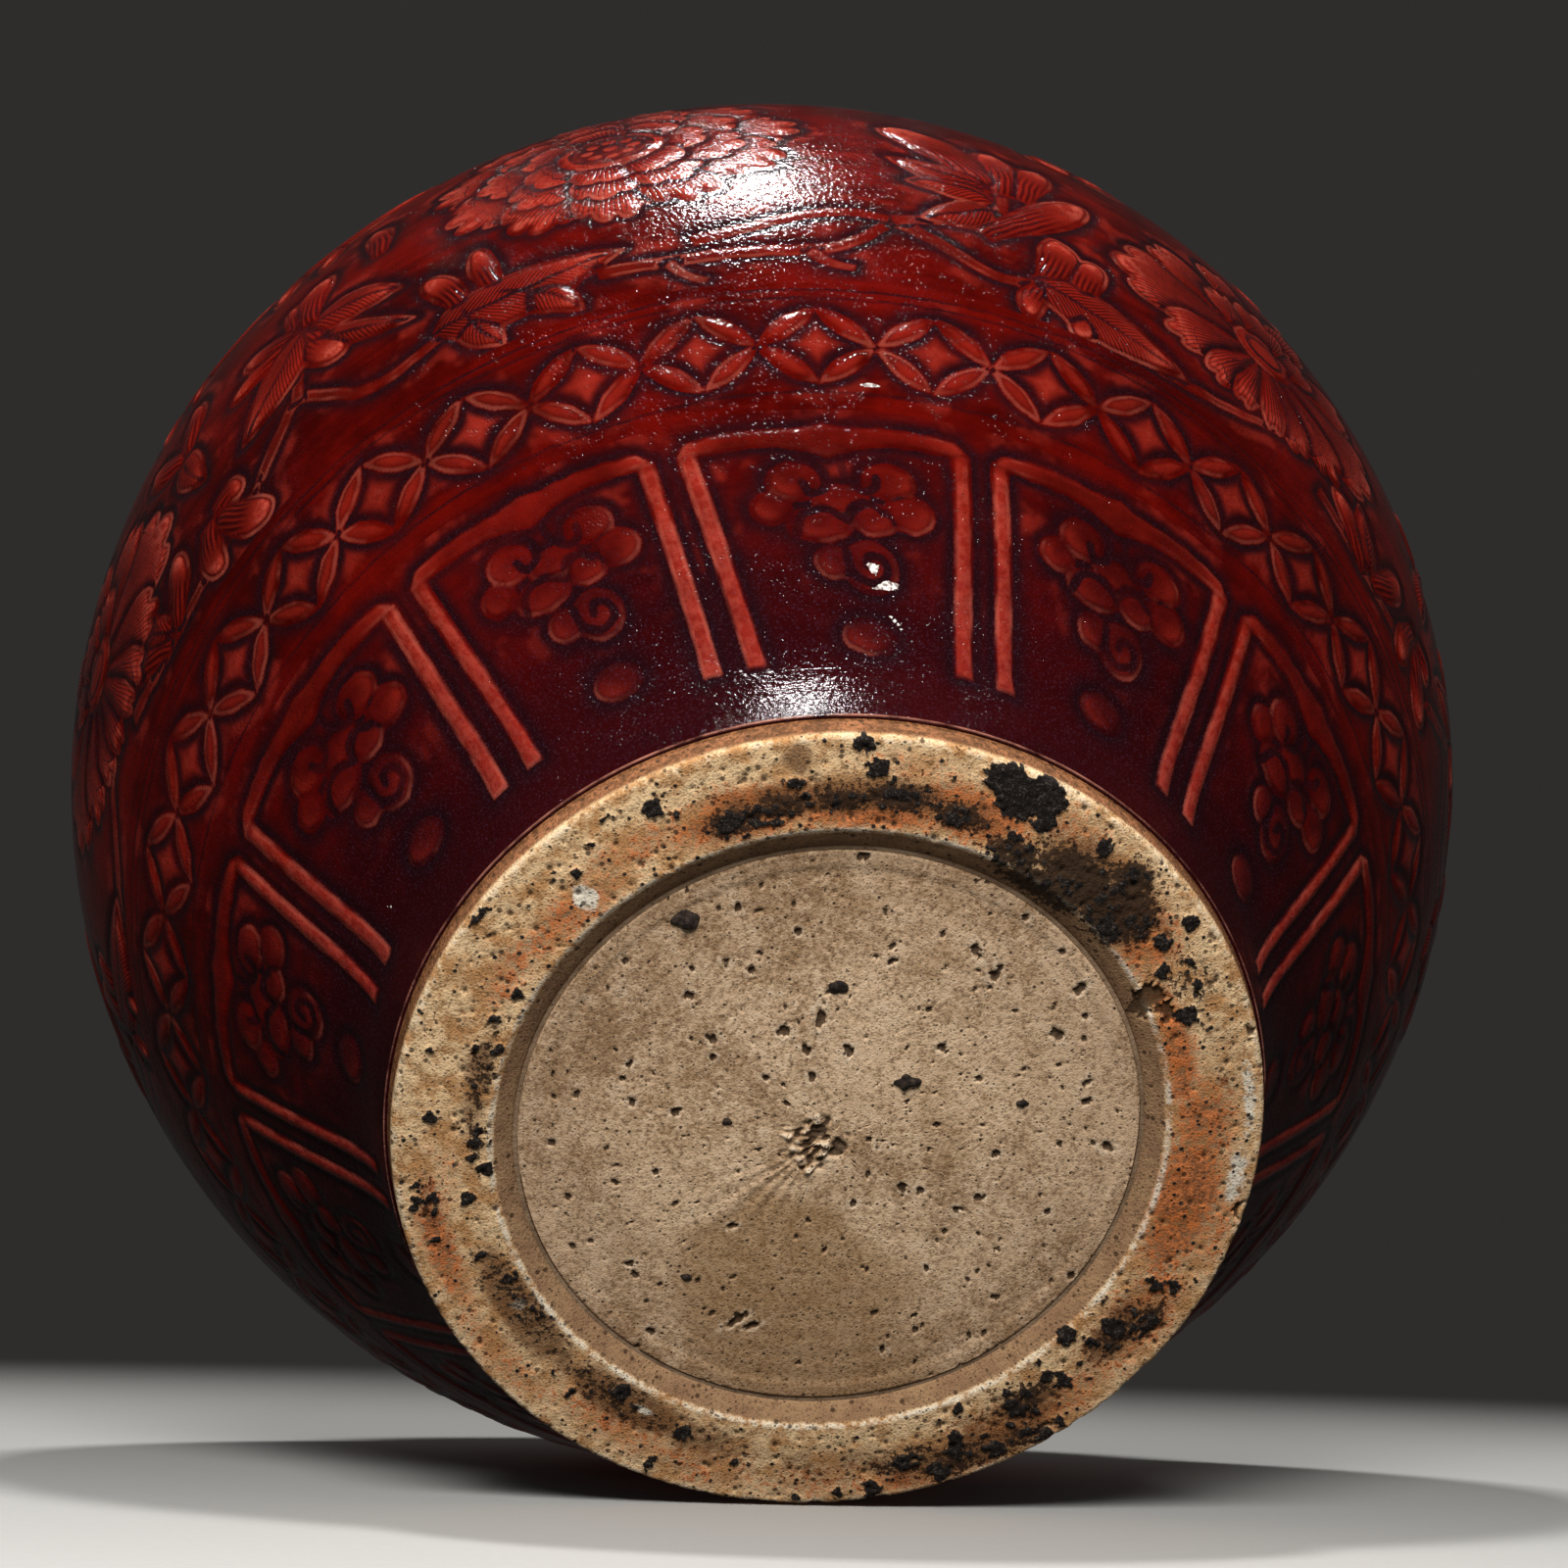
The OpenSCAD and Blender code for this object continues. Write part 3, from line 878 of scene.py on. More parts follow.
scroll_sheet = Sheet(360 * DEG, SCROLL_LOW - MARGIN, SCROLL_HIGH + MARGIN)
for third, side_at in enumerate(SIDE_BLOOMS_AT):
    scroll_third(scroll_sheet, FIRST_BLOOM + 120 * third, side_at)
print("Scroll lift", scroll_sheet.lift.min().round(2), "to", scroll_sheet.lift.max().round(2), "mm")

# %% [markdown]
# ## Spinning the wall
# A few vertices drawn as a section, spun right round with the spin operator, make a closed band: the outer
# face, the two ends and the inner face. Every vertex remembers its run through the spin, so that it can
# take its height from a sheet later. A hand-made wall isn't true, so a small drift is at hand for the place
# where a sheet is read.

# %% Spin kit
SHARP = math.radians(55)
DOUBLINGS = 4
SEAM = 2e-6
ANY_PHASE = 6.3
WAVES = 5


def link(mesh, slot, *stands_for):
    """Puts a finished mesh in the scene as a piece of the jar."""
    piece = bpy.data.objects.new(mesh.name, mesh)
    scene.collection.objects.link(piece)
    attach(piece, "root")
    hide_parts(*stands_for)
    print(f"{mesh.name}: {len(mesh.polygons)} faces")
    return piece


def to_mesh(name, shape):
    """Turns a finished bmesh into a mesh."""
    mesh = bpy.data.meshes.new(name)
    shape.to_mesh(mesh)
    shape.free()
    return mesh


def spin_section(name, section, sector_columns, runs=None):
    """Spins a closed section, given as radius and height in mm, into a mesh that remembers its runs.

    One sector is spun, and then doubled until it closes, because a long spin slows down with every step.
    """
    shape = bmesh.new()
    layer = shape.verts.layers.float.new("run")
    ring = [shape.verts.new((r * MM, 0, z * MM)) for r, z in section]
    for vert, run in zip(ring, [0.0] * len(section) if runs is None else runs):
        vert[layer] = run
    for a, b in zip(ring, ring[1:] + ring[:1]):
        shape.edges.new((a, b))
    sector = 2 * math.pi / 2**DOUBLINGS
    axis = {"cent": (0, 0, 0), "axis": (0, 0, 1), "dvec": (0, 0, 0)}
    bmesh.ops.spin(shape, geom=shape.verts[:] + shape.edges[:], angle=sector, steps=sector_columns,
                   use_merge=False, **axis)
    for doubling in range(DOUBLINGS):
        copy = bmesh.ops.duplicate(shape, geom=shape.verts[:] + shape.edges[:] + shape.faces[:])["geom"]
        verts = [item for item in copy if isinstance(item, bmesh.types.BMVert)]
        turn = Matrix.Rotation(sector * 2**doubling, 3, "Z")
        bmesh.ops.rotate(shape, verts=verts, cent=(0, 0, 0), matrix=turn)
    bmesh.ops.remove_doubles(shape, verts=shape.verts, dist=SEAM)
    bmesh.ops.recalc_face_normals(shape, faces=shape.faces)
    return to_mesh(name, shape)


def read(mesh):
    """Angle in degrees, radius and height in mm of every vertex."""
    co = np.empty(len(mesh.vertices) * 3)
    mesh.vertices.foreach_get("co", co)
    x, y, z = co.reshape(-1, 3).T / MM
    return np.degrees(np.arctan2(y, x)), np.hypot(x, y), z


def write(mesh, angle, r, z):
    """Puts every vertex at its angle, radius and height."""
    a = np.radians(angle)
    co = np.stack([r * np.cos(a), r * np.sin(a), z], 1) * MM
    mesh.vertices.foreach_set("co", co.ravel())
    mesh.update()


def keep(mesh, fields):
    """Stores values at every vertex for the finish to read."""
    for name, values in fields.items():
        layer = mesh.attributes.get(name) or mesh.attributes.new(name, "FLOAT", "POINT")
        layer.data.foreach_set("value", np.asarray(values, np.float32))


def stored(mesh, name):
    """Reads such a value back."""
    values = np.empty(len(mesh.vertices), np.float32)
    mesh.attributes[name].data.foreach_get("value", values)
    return values.astype(float)


def soften(mesh):
    """Smooth shading with crisp corners."""
    mesh.shade_smooth()
    mesh.set_sharp_from_angle(angle=SHARP)


def wander(angle, run, seed, turns=(2, 14), climb=0.06):
    """A small drift from -1 to 1, slow or quick, as of a hand that draws by eye."""
    rng = np.random.default_rng(seed)
    drift = 0
    for _ in range(WAVES):
        count, slope, start = rng.integers(*turns), rng.uniform(-climb, climb), rng.uniform(0, ANY_PHASE)
        drift = drift + np.sin(np.radians(angle) * count + run * slope + start)
    return drift / WAVES


def tremble(angle, run, seed):
    """The quick part of that drift: the hand's tremble along a cut."""
    return wander(angle, run, seed, turns=(60, 160), climb=1.0)


print("Corners stay crisp above", round(math.degrees(SHARP)), "degrees")

# %% [markdown]
# ## Where each band reads its carving
# Each band of the wall turns angles and runs into places on its sheet. The panels were set out by eye, so
# they lie between measured marks and lean a little. The coins keep an even pitch. The shoulder isn't in the
# photograph, so it has a smaller chain of the same coins. All of them get the hand's drift.

# %% Looks of the bands
PANEL_MARKS = np.array([13.0, 43, 73, 103, 133, 163, 192.9, 225.0, 254.5, 285.0, 314.6, 342.9, 373.0])
PANEL_LEAN = 3.9
UPRIGHT_AT = 210.0
COIN_TURN = 1.7
TURNING_DEPTH = 0.03
SHOULDER_R = 140.0
SHOULDER_LOW = 238.0
SHOULDER_HIGH = 254.0
SHOULDER_COINS = 36
SHOULDER_PETAL_W = 5.6
SHOULDER_LINES = (SCROLL_HIGH + 3, SCROLL_HIGH + 6, 258, 261)
# A drift has a part across and a part up. Each is slow mm and their seed, then trembling mm and their seed.
PANEL_DRIFT = ((0.4, 3, 0.16, 12), (0.4, 4, 0.25, 13))
COIN_DRIFT = ((0.6, 6, 0.25, 14), (0.5, 7, 0.25, 15))
SCROLL_DRIFT = ((0.6, 8, 0.25, 16), (0.6, 9, 0.25, 17))
SHOULDER_SWAY = 0.4
TURNING_SEED = 5


def drifted(x, angle, run, drift):
    """Places on a sheet, moved across and up by the drift of the hand."""
    moved = []
    for value, (slow, slow_seed, quick, quick_seed) in zip((x, run), drift):
        value = value + slow * wander(angle, run, slow_seed)
        moved.append(value + quick * tremble(angle, run, quick_seed))
    return moved


def turning_lines(run):
    """Fine rings that the turning tool leaves."""
    rng = np.random.default_rng(TURNING_SEED)
    rings = sum(np.sin(run * rng.uniform(1.5, 4.5) + rng.uniform(0, ANY_PHASE)) for _ in range(WAVES))
    return TURNING_DEPTH * rings


def panel_look(angle, run):
    """Lotus panels between marks that were set out by eye, with a plain turned foot below."""
    share = (run - PANEL_FOOT) / (PANEL_TOP - PANEL_FOOT)
    straight = angle + PANEL_LEAN * np.sin(np.radians(angle - UPRIGHT_AT)) * share
    straight = (straight - PANEL_MARKS[0]) % 360 + PANEL_MARKS[0]
    x = np.interp(straight, PANEL_MARKS, np.arange(PANELS + 1)) * PANEL_PITCH
    carving = panel_sheet.sample(*drifted(x, angle, run, PANEL_DRIFT))
    carving["lift"] += turning_lines(run) * smooth(24, 10, run)
    return carving


def coin_look(angle, run):
    """Linked coins between border lines."""
    return coin_sheet.sample(*drifted(np.radians(angle - COIN_TURN) * COIN_R, angle, run, COIN_DRIFT))


def scroll_look(angle, run):
    """Peony scroll."""
    return scroll_sheet.sample(*drifted(angle * DEG, angle, run, SCROLL_DRIFT))


def shoulder_look(angle, run):
    """A smaller chain of coins on the shoulder, then the plain neck."""
    x = np.radians(angle) * SHOULDER_R + SHOULDER_SWAY * wander(angle, run, 10)
    return shoulder_sheet.sample(x, run + SHOULDER_SWAY * wander(angle, run, 11))


shoulder_pitch = 2 * math.pi * SHOULDER_R / SHOULDER_COINS
shoulder_sheet = Sheet(shoulder_pitch, SCROLL_HIGH - MARGIN, TOP_RUN + MARGIN)
coin_band(shoulder_sheet, SHOULDER_LOW, SHOULDER_HIGH, SHOULDER_PETAL_W)
border_lines(shoulder_sheet, SHOULDER_LINES)
print("Shoulder coins every", round(shoulder_pitch, 1), "mm")

# %% [markdown]
# ## Bands of glaze
# The red coat is one skin of glass. It is cut at plain places into five bands, so that each has enough
# vertices for its carving. The outer face of a band follows its sheet and the inner face lies on the clay.
# Small chips, where the glaze has broken away, are polygons in degrees and runs. They are pressed in after
# the carving.

# %% Glaze bands
GLAZE_T = 0.7
RUN_INSIDE = -1.0
INSIDE_ROWS = 9
SHOULDER_INSIDE_ROWS = 36
LIFT_LOW = -0.75
LIFT_HIGH = 1.3
OFF = {"edge": -FAR_OFF, "line": FAR_OFF, "chip": -FAR_OFF}
CHIP_REACH = 3.0
CHIP_DEPTH = 0.3
CHIPS = [
    [(270.1, 41.2), (271.9, 40.2), (271.5, 37.4), (270.9, 38.4)],
    [(270.6, 34.6), (272.6, 37.2), (274.6, 36.6), (273.4, 34.9)],
    [(270.3, 33.4), (270.9, 33.4), (270.8, 32.4), (270.4, 32.5)],
    [(272.3, 30.0), (273.2, 29.6), (274.8, 26.6), (274.4, 26.0), (273.4, 28.0)],
    [(199.9, 25.2), (200.6, 24.4), (201.7, 22.3), (201.1, 22.2), (200.4, 23.9)],
    [(197.9, 28.4), (198.4, 28.2), (199.2, 26.6), (198.9, 26.5)],
    [(270.2, 107.4), (271.8, 106.9), (271.6, 106.3), (270.4, 106.8)],
    [(271.2, 101.5), (272.4, 101.1), (272.2, 100.3), (271.4, 100.6)],
    [(271.0, 96.2), (271.9, 96.0), (271.5, 95.2)],
    [(270.2, 91.1), (271.3, 90.9), (271.0, 90.3), (270.4, 90.4)],
    [(269.9, 82.9), (270.9, 83.4), (272.6, 82.9), (271.6, 82.2), (270.6, 82.0)],
]
# A band has its name, two runs, the height of a row, the columns of a sector, its look and its inside rows.
BANDS = [
    ("glaze_lotus_panels", 0, PANEL_END, 0.85, 62, panel_look, INSIDE_ROWS),
    ("glaze_coin_band", PANEL_END, COIN_END, 0.75, 75, coin_look, INSIDE_ROWS),
    ("glaze_scroll_lower", COIN_END, SCROLL_MID, 0.84, 75, scroll_look, INSIDE_ROWS),
    ("glaze_scroll_upper", SCROLL_MID, SCROLL_HIGH, 0.84, 75, scroll_look, INSIDE_ROWS),
    ("glaze_shoulder", SCROLL_HIGH, TOP_RUN, 1.2, 45, shoulder_look, SHOULDER_INSIDE_ROWS),
]


def chipped(angle, run):
    """How far inside a chip of the glaze each place lies, in mm. It is below 0 outside."""
    inside = np.full(angle.shape, -CHIP_REACH)
    for chip in CHIPS:
        corners = np.array(chip)
        middle = corners.mean(0)
        mm = math.radians(1) * wall_at(middle[1])[0]
        x, y = off_angle(angle, middle[0]) * mm, run - middle[1]
        close = np.flatnonzero((np.abs(x) < 2 * CHIP_REACH) & (np.abs(y) < 2 * CHIP_REACH))
        away, within = distance(x[close], y[close], (corners - middle) * (mm, 1), True)
        inside[close] = np.maximum(inside[close], np.where(within, away, -away))
    return inside


def glaze_band(name, low, high, row, columns, look, inside_rows):
    """A closed band of glaze between two runs. Look gives the carving for angles and runs."""
    outer = np.linspace(low, high, round((high - low) / row) + 1)
    inner = np.linspace(high, low, inside_rows)
    section = np.concatenate([np.stack(wall_at(outer), 1), np.stack(wall_at(inner, -GLAZE_T), 1)])
    mesh = spin_section(name, section, columns, [*outer, *[RUN_INSIDE] * inside_rows])
    angle, r, z = read(mesh)
    run = stored(mesh, "run")
    face = run > RUN_INSIDE / 2
    carving = look(angle, run)
    carving["chip"] = chipped(angle, run)
    pressed = CHIP_DEPTH * smooth(-0.1, 0.4, carving["chip"])
    carving["lift"] = np.clip(carving["lift"], LIFT_LOW, LIFT_HIGH) - pressed
    out_r, out_z = wall_at(run, carving["lift"])
    write(mesh, angle, np.where(face, out_r, r), np.where(face, out_z, z))
    keep(mesh, {label: np.where(face, values, OFF.get(label, 0)) for label, values in carving.items()})
    soften(mesh)
    return link(mesh, "red_glaze", "outer_glaze")


glaze_pieces = [glaze_band(*band) for band in BANDS]

# %% [markdown]
# ## Copper-red glaze
# Copper red runs thin off high edges, where it turns pale and orange, and pools in cuts, where it is almost
# black with a purple cast. Near the foot it gathers into aubergine. The finish reads the mesh: the distance
# to the nearest cut draws a dark line just outside each motif and a pale one just inside, the lift shows
# thin glaze, and the combing draws its strokes. Clouds of noise at three sizes break up the field, and a
# fine bump makes the gloss sparkle. The layers are mixed from the field up, each with a share of its own.

# %% Red glaze finish
FIELD_DARK = tone(49, 2, 1)
FIELD_BRIGHT = tone(88, 7, 3)
THIN = tone(144, 37, 25)
PALE = tone(192, 92, 74)
POOL = tone(24, 6, 9)
HAZE = tone(92, 66, 88)
AUBERGINE = tone(31, 3, 5)
# Painted glints on the glaze chips, white and grey
CHIP_GLINT_WHITE = tone(226, 218, 208)
CHIP_GLINT_GREY = tone(128, 112, 108)
GLAZE_END_PALE = tone(156, 102, 86)
GLAZE_IOR = 1.25
CUT_INSIDE = 0.25
CUT_OUTSIDE = -3.0
GATHERED_SHARE = 0.9
# Share of the dark halo round the motifs: pooled glaze and painted shade
POOL_AND_SHADE_SHARE = 0.5
SLOPE_SHARE = 0.32
RIM_SHARE = 0.3
WORN_SHARE = 0.5
LAND_SHARE = 0.25
STROKE_SHARE = 0.65
VEIL_SHARE = 0.7
BUBBLE_SHARE = 0.12


def red_glaze():
    """The red glaze outside the jar."""
    f = Finish("copper_red_glaze", roughness=0.1)
    f.shader.inputs["IOR"].default_value = GLAZE_IOR
    run, edge, line, lift, thin = map(f.attribute, ("run", "edge", "line", "lift", "thin"))

    # The field: aubergine near the foot, with a dark halo round the motifs that is pooled glaze and painted
    # shade, and thin slopes round them
    clouds = f.noise(45, 5.0, 0.6)
    mottle = f.noise(6, 4.0, 0.6)
    speck = f.noise(0.45, 2.0, 0.6)
    patches = f.noise(14, 3.0, 0.6)
    streaks = f.noise(3, 3.0, 0.6, f.stretch(0.06, 0.06, 1.0))
    shade = clouds * 0.6 + streaks * 0.3 + mottle * 0.2
    f.colour(f.mix(f.ease(shade, 0.42, 0.7), FIELD_DARK, FIELD_BRIGHT))
    low = run + (mottle - 0.5) * 26.0
    f.cover(f.ease(low, 84, 20) * GATHERED_SHARE, AUBERGINE)
    # Darker round each motif: pooled glaze, with painted shade beside the raised motifs
    pool_and_shade_halo = f.ease(edge, 0.0, -1.0) * f.ease(edge, -6.0, -1.0)
    f.cover(pool_and_shade_halo * POOL_AND_SHADE_SHARE, POOL)
    slope = f.near(edge, -3.4, 2.6) * f.ease(patches, 0.5, 0.66)
    f.cover(slope * (f.ease(run, 20, 60) * SLOPE_SHARE), THIN)

    # Thin glaze on high places, pale along their rims and where they are worn
    jitter = (speck - 0.5) * 0.6
    edge = edge + jitter
    line = line + jitter
    patchy = f.ease(mottle, 0.3, 0.65)
    high = f.ease(lift, -0.15, 0.22) * (patchy * 0.3 + 0.6)
    f.cover(high * thin, THIN)
    rim = f.near(edge, 0.7, 0.7) * f.ease(patches, 0.4, 0.66)
    f.cover(rim * f.ease(thin, 0.0, 0.6) * RIM_SHARE, PALE)
    worn = f.ease(f.noise(2.2, 4.0, 0.65), 0.38, 0.62) * f.ease(lift, -0.05, 0.25)
    f.cover(worn * f.ease(thin, 0.45, 1.0) * WORN_SHARE, PALE)

    # Combed strokes, and glaze that pools in every cut
    combing = f.attribute("combed")
    stroke = f.math("PINGPONG", f.attribute("comb"), 0.5)
    f.cover(f.ease(stroke, 0.22, 0.4) * combing * LAND_SHARE, THIN)
    groove = f.ease(edge, CUT_INSIDE, -0.15) * f.ease(edge, CUT_OUTSIDE, -0.4)
    uneven = f.ease(f.noise(11, 3.0, 0.6), 0.35, 0.6)
    dark = f.most(groove, f.ease(line, 0.95, 0.4)) * (uneven * 0.4 + 0.55)
    stroke = f.ease(stroke, 0.22, 0.06) * combing * STROKE_SHARE
    f.cover(f.most(dark, stroke), POOL)

    # Milky bubbles, the pale end of the glaze, and chips, whose glints are painted white and grey
    veil = f.ease(f.noise(28, 3.0, 0.6), 0.5, 0.66) * VEIL_SHARE
    milky = f.most(dark * 0.8, f.most(f.ease(low, 64, 30), veil))
    f.cover(f.ease(speck, 0.54, 0.68) * milky * BUBBLE_SHARE, HAZE)
    f.cover(f.near(run, 0.2, 0.7) * patchy, GLAZE_END_PALE)
    # The chips are pressed-in dents; their white and grey is a painted glint
    chip = f.ease(f.attribute("chip") + jitter * 0.8, 0.08, 0.2)
    painted_chip_glint = f.mix(f.ease(f.noise(0.9, 3.0, 0.6), 0.4, 0.6), CHIP_GLINT_GREY, CHIP_GLINT_WHITE)
    f.cover(chip, painted_chip_glint)

    # Gloss, and a skin with rings near the foot and pores
    f.roughness(mottle * 0.06 + 0.07 + chip * 0.6)
    peel = f.noise(1.1, 2.0, 0.6) * 0.65
    rings = f.noise(1.1, 3.0, 0.6, f.stretch(0.03, 0.03, 1.0)) * f.ease(low, 30, 12)
    pores = f.spots(0.9, 0.36, 0.14) * f.ease(f.noise(10, 3.0, 0.6), 0.4, 0.56)
    f.bump(peel + rings * 0.7 - pores * 0.35 - stroke * 0.15, 0.3)
    return f.material


glaze = red_glaze()
for piece in glaze_pieces:
    piece.data.materials.append(glaze)
print("Red glaze on", len(glaze_pieces), "bands")

# %% [markdown]
# ## What the kiln left on the foot
# The foot is bare clay, scorched orange by the kiln towards its inner edge, cream outside, with black
# crusts of kiln grit, soot, stains and chalky spots. Each mark is a place on the ring: its angle, its
# radius, and how far it reaches along and across the ring. A soft mark also says how strong it is. Painting
# an image would be the usual way, but places can be moved one by one, and the mesh can follow them.

# %% Places on the foot
CRUSTS = [
    (288, 81.6, 4.6, 3.6), (293.5, 81.4, 4.8, 3.8), (290.5, 77.6, 4.2, 2.8), (295.5, 77.0, 2.4, 2.4),
    (268.6, 83.4, 2.4, 1.7), (270.8, 78.8, 2.4, 2.1), (240, 79.2, 1.9, 2.0), (242.5, 76.2, 1.2, 0.8),
    (305, 79.0, 1.7, 2.0), (321.5, 81.2, 2.0, 1.8), (322, 74.8, 2.1, 1.9), (326.5, 71.7, 1.5, 1.7),
    (335, 72.7, 1.8, 2.4), (318.5, 73.2, 1.0, 1.2), (259.5, 76.2, 2.0, 1.1), (249, 71.0, 2.8, 1.9),
    (22.5, 77.8, 1.8, 1.4), (23.5, 74.5, 1.5, 2.3), (29, 78.6, 1.2, 1.4), (33.5, 73.0, 2.2, 2.8),
    (37.5, 71.5, 1.1, 2.0), (36.5, 75.8, 1.0, 1.1), (45.5, 74.5, 1.4, 2.4), (47, 71.5, 1.5, 1.6),
    (52, 76.8, 1.3, 1.3), (54.5, 73.5, 1.9, 2.1), (51.5, 72.0, 1.2, 1.6), (54, 69.5, 0.9, 1.2),
    (53, 83.2, 2.2, 1.4), (50, 82.2, 0.9, 2.2), (55, 80.5, 1.4, 1.6), (60, 81.0, 1.9, 2.1),
    (65.5, 77.4, 1.7, 2.8), (65, 74.5, 1.6, 1.6), (69, 83.2, 1.4, 1.4), (69.5, 80.5, 2.0, 1.6),
    (74, 77.0, 1.9, 2.1), (79, 82.3, 2.0, 2.4), (84, 82.5, 1.0, 1.5), (90, 83.0, 0.9, 1.2),
    (39.5, 66.8, 2.2, 2.0), (46.5, 67.4, 0.8, 1.0), (62.5, 68.4, 1.1, 1.5), (30, 67.4, 1.0, 0.8),
    (100, 76.0, 0.7, 1.1), (109.5, 72.0, 1.9, 1.8), (112, 81.5, 0.9, 1.9), (122.5, 69.2, 2.0, 2.2),
    (129, 75.5, 0.8, 1.5), (130, 70.0, 0.8, 1.2), (133.5, 74.5, 0.8, 1.0), (152, 69.5, 0.8, 1.5),
    (157.5, 72.0, 1.2, 1.4), (143, 67.6, 0.9, 1.0), (168, 71.5, 1.6, 1.6), (169, 81.0, 1.0, 1.5),
    (171.2, 80.7, 0.9, 1.0), (169, 77.8, 1.4, 1.2), (162, 79.2, 0.7, 0.9), (173, 67.2, 1.6, 1.8),
    (178, 68.6, 1.3, 1.5), (182, 77.7, 1.4, 1.4), (192.5, 80.0, 0.8, 0.8), (200, 71.0, 1.0, 1.2),
    (205.5, 69.0, 1.3, 1.3), (212.5, 83.6, 2.2, 0.6), (234.5, 82.0, 1.4, 0.5), (230.5, 78.5, 0.8, 1.0),
    (226, 76.2, 1.4, 1.2), (315, 68.0, 3.0, 2.0), (283, 71.0, 1.8, 1.6), (274, 74.0, 3.0, 1.4),
]
TEARS = [
    (329.5, 67.2, 3.0, 3.4), (333.2, 69.2, 2.4, 1.8), (331, 64.6, 2.2, 2.4), (340.5, 83.6, 1.6, 1.2),
    (9, 83.6, 2.4, 0.9),
]
SOOT = [
    (250, 71, 5, 3, 1.1), (257, 72, 5, 3, 0.9), (266, 72.5, 5, 3, 0.9), (274, 73.5, 6, 3, 1.1),
    (284, 72, 5, 3, 1.0), (294, 69, 5, 3.4, 1.1), (306, 71, 9, 6, 1.3), (314, 72, 6, 7, 1.3),
    (311, 78, 3, 4, 1.2), (301, 66, 9, 3.4, 1.2), (34, 74.5, 6, 4, 0.75), (29, 78, 4, 3, 0.7),
    (52, 73, 6, 4.5, 0.75), (66, 80, 9, 4, 0.75), (73, 77, 6, 3.5, 0.7), (57, 81.5, 6, 3, 0.7),
    (191, 69.5, 9, 3, 0.55), (178, 69, 5, 3, 0.55), (148, 70, 12, 4.5, 0.5), (122, 71, 12, 4, 0.5),
    (168, 79, 5, 3, 0.5), (330, 76, 6, 5, 0.5),
]
FLUSHES = [
    (8, 72, 16, 8, 1.0), (10, 80, 14, 5, 0.6), (30, 76, 14, 8, 0.75), (56, 78, 20, 7, 0.75),
    (70, 81, 14, 4, 0.8), (105, 78, 10, 6, 0.55), (120, 75, 14, 7, 0.6), (140, 80, 12, 4, 0.55),
    (162, 79, 14, 4, 0.8), (175, 75, 10, 5, 0.35), (208, 73, 10, 4, 0.6), (222, 71, 14, 5, 0.7),
    (235, 74, 12, 4, 0.6), (252, 72, 14, 6, 1.0), (270, 71, 16, 5, 1.0), (285, 73, 12, 6, 1.0),
    (275, 79, 8, 4, 0.45), (300, 78, 8, 5, 0.6), (318, 72, 10, 8, 0.9), (340, 69, 14, 4, 0.9),
    (354, 73, 10, 8, 0.8), (85, 79, 12, 5, 0.5),
]
STAINS = [
    (188, 70, 11, 4, 0.5), (145, 71, 15, 5, 0.95), (120, 71, 15, 5, 0.9), (105, 73, 10, 5, 0.75),
    (260, 81, 2.5, 4, 0.9), (33, 74, 12, 6, 0.6), (60, 77, 18, 7, 0.7), (265, 74, 22, 4.5, 0.7),
    (308, 74, 12, 8, 0.8), (85, 75, 14, 6, 0.6), (345, 78, 10, 5, 0.5), (208, 76, 4, 3, 0.5),
]
CHALKY = [
    (224.5, 71.5, 2.2, 3.5, 1.0), (3, 81, 6, 3, 0.75), (118, 70.8, 3, 1.2, 0.8), (350, 82, 9, 2, 0.7),
    (147, 70.5, 2, 3, 0.6),
]
print(len(CRUSTS), "crusts and", len(SOOT), "places of soot on the foot")

# %% [markdown]
# ## Fields from places
# A place becomes a field: a value at every vertex. A crust has a hard edge, so its field is a depth in mm.
# Soot and scorch are soft, so theirs falls off like a bell. Rough noise from crossing waves breaks up every
# edge. Crumbs, pits and grains are strewn by a seeded generator.

# %% Fields on the bare clay
CRUMBS = 9
OUTSIDE = -3.0
SPRINKLE_REACH = 2.5
SPRINKLED = (66.5, 84.5)


def patch(angle, r, places):
    """How deep inside the nearest patch each vertex lies, in mm. It is below 0 outside."""
    depth = np.full(angle.shape, OUTSIDE)
    for a, at_r, along, across in places:
        dx = np.radians(off_angle(angle, a)) * at_r / along
        depth = np.maximum(depth, (1 - np.hypot(dx, (r - at_r) / across)) * min(along, across))
    return depth


def zone(angle, r, places):
    """A soft field that is strong in some places. Their reach along the ring is in degrees."""
    field = np.zeros(angle.shape)
    for a, at_r, turn, reach, strong in places:
        off = off_angle(angle, a) / turn
        field = np.maximum(field, strong * np.exp(-((off**2 + ((r - at_r) / reach) ** 2) ** 1.5)))
    return field


def ragged(angle, r, seed, fine=0.9, count=18):
    """Rough noise on a flat face, from many crossing waves."""
    rng = np.random.default_rng(seed)
    x, y = r * np.cos(np.radians(angle)), r * np.sin(np.radians(angle))
    waves = 0
    for _ in range(count):
        kx, ky, start = rng.normal(0, fine), rng.normal(0, fine), rng.uniform(0, ANY_PHASE)
        waves = waves + np.sin(kx * x + ky * y + start)
    return waves / math.sqrt(count)


def strewn_crumbs(rng):
    """Places of small crumbs that lie in the soot."""
    crumbs = []
    for a, at_r, along, across, strength in SOOT:
        for _ in range(round(CRUMBS * strength)):
            off = rng.normal(0, 0.5, 2) * (math.degrees(along / at_r), across)
            crumbs.append((a + off[0], at_r + off[1], rng.uniform(0.5, 1.5), rng.uniform(0.4, 1.1)))
    return crumbs


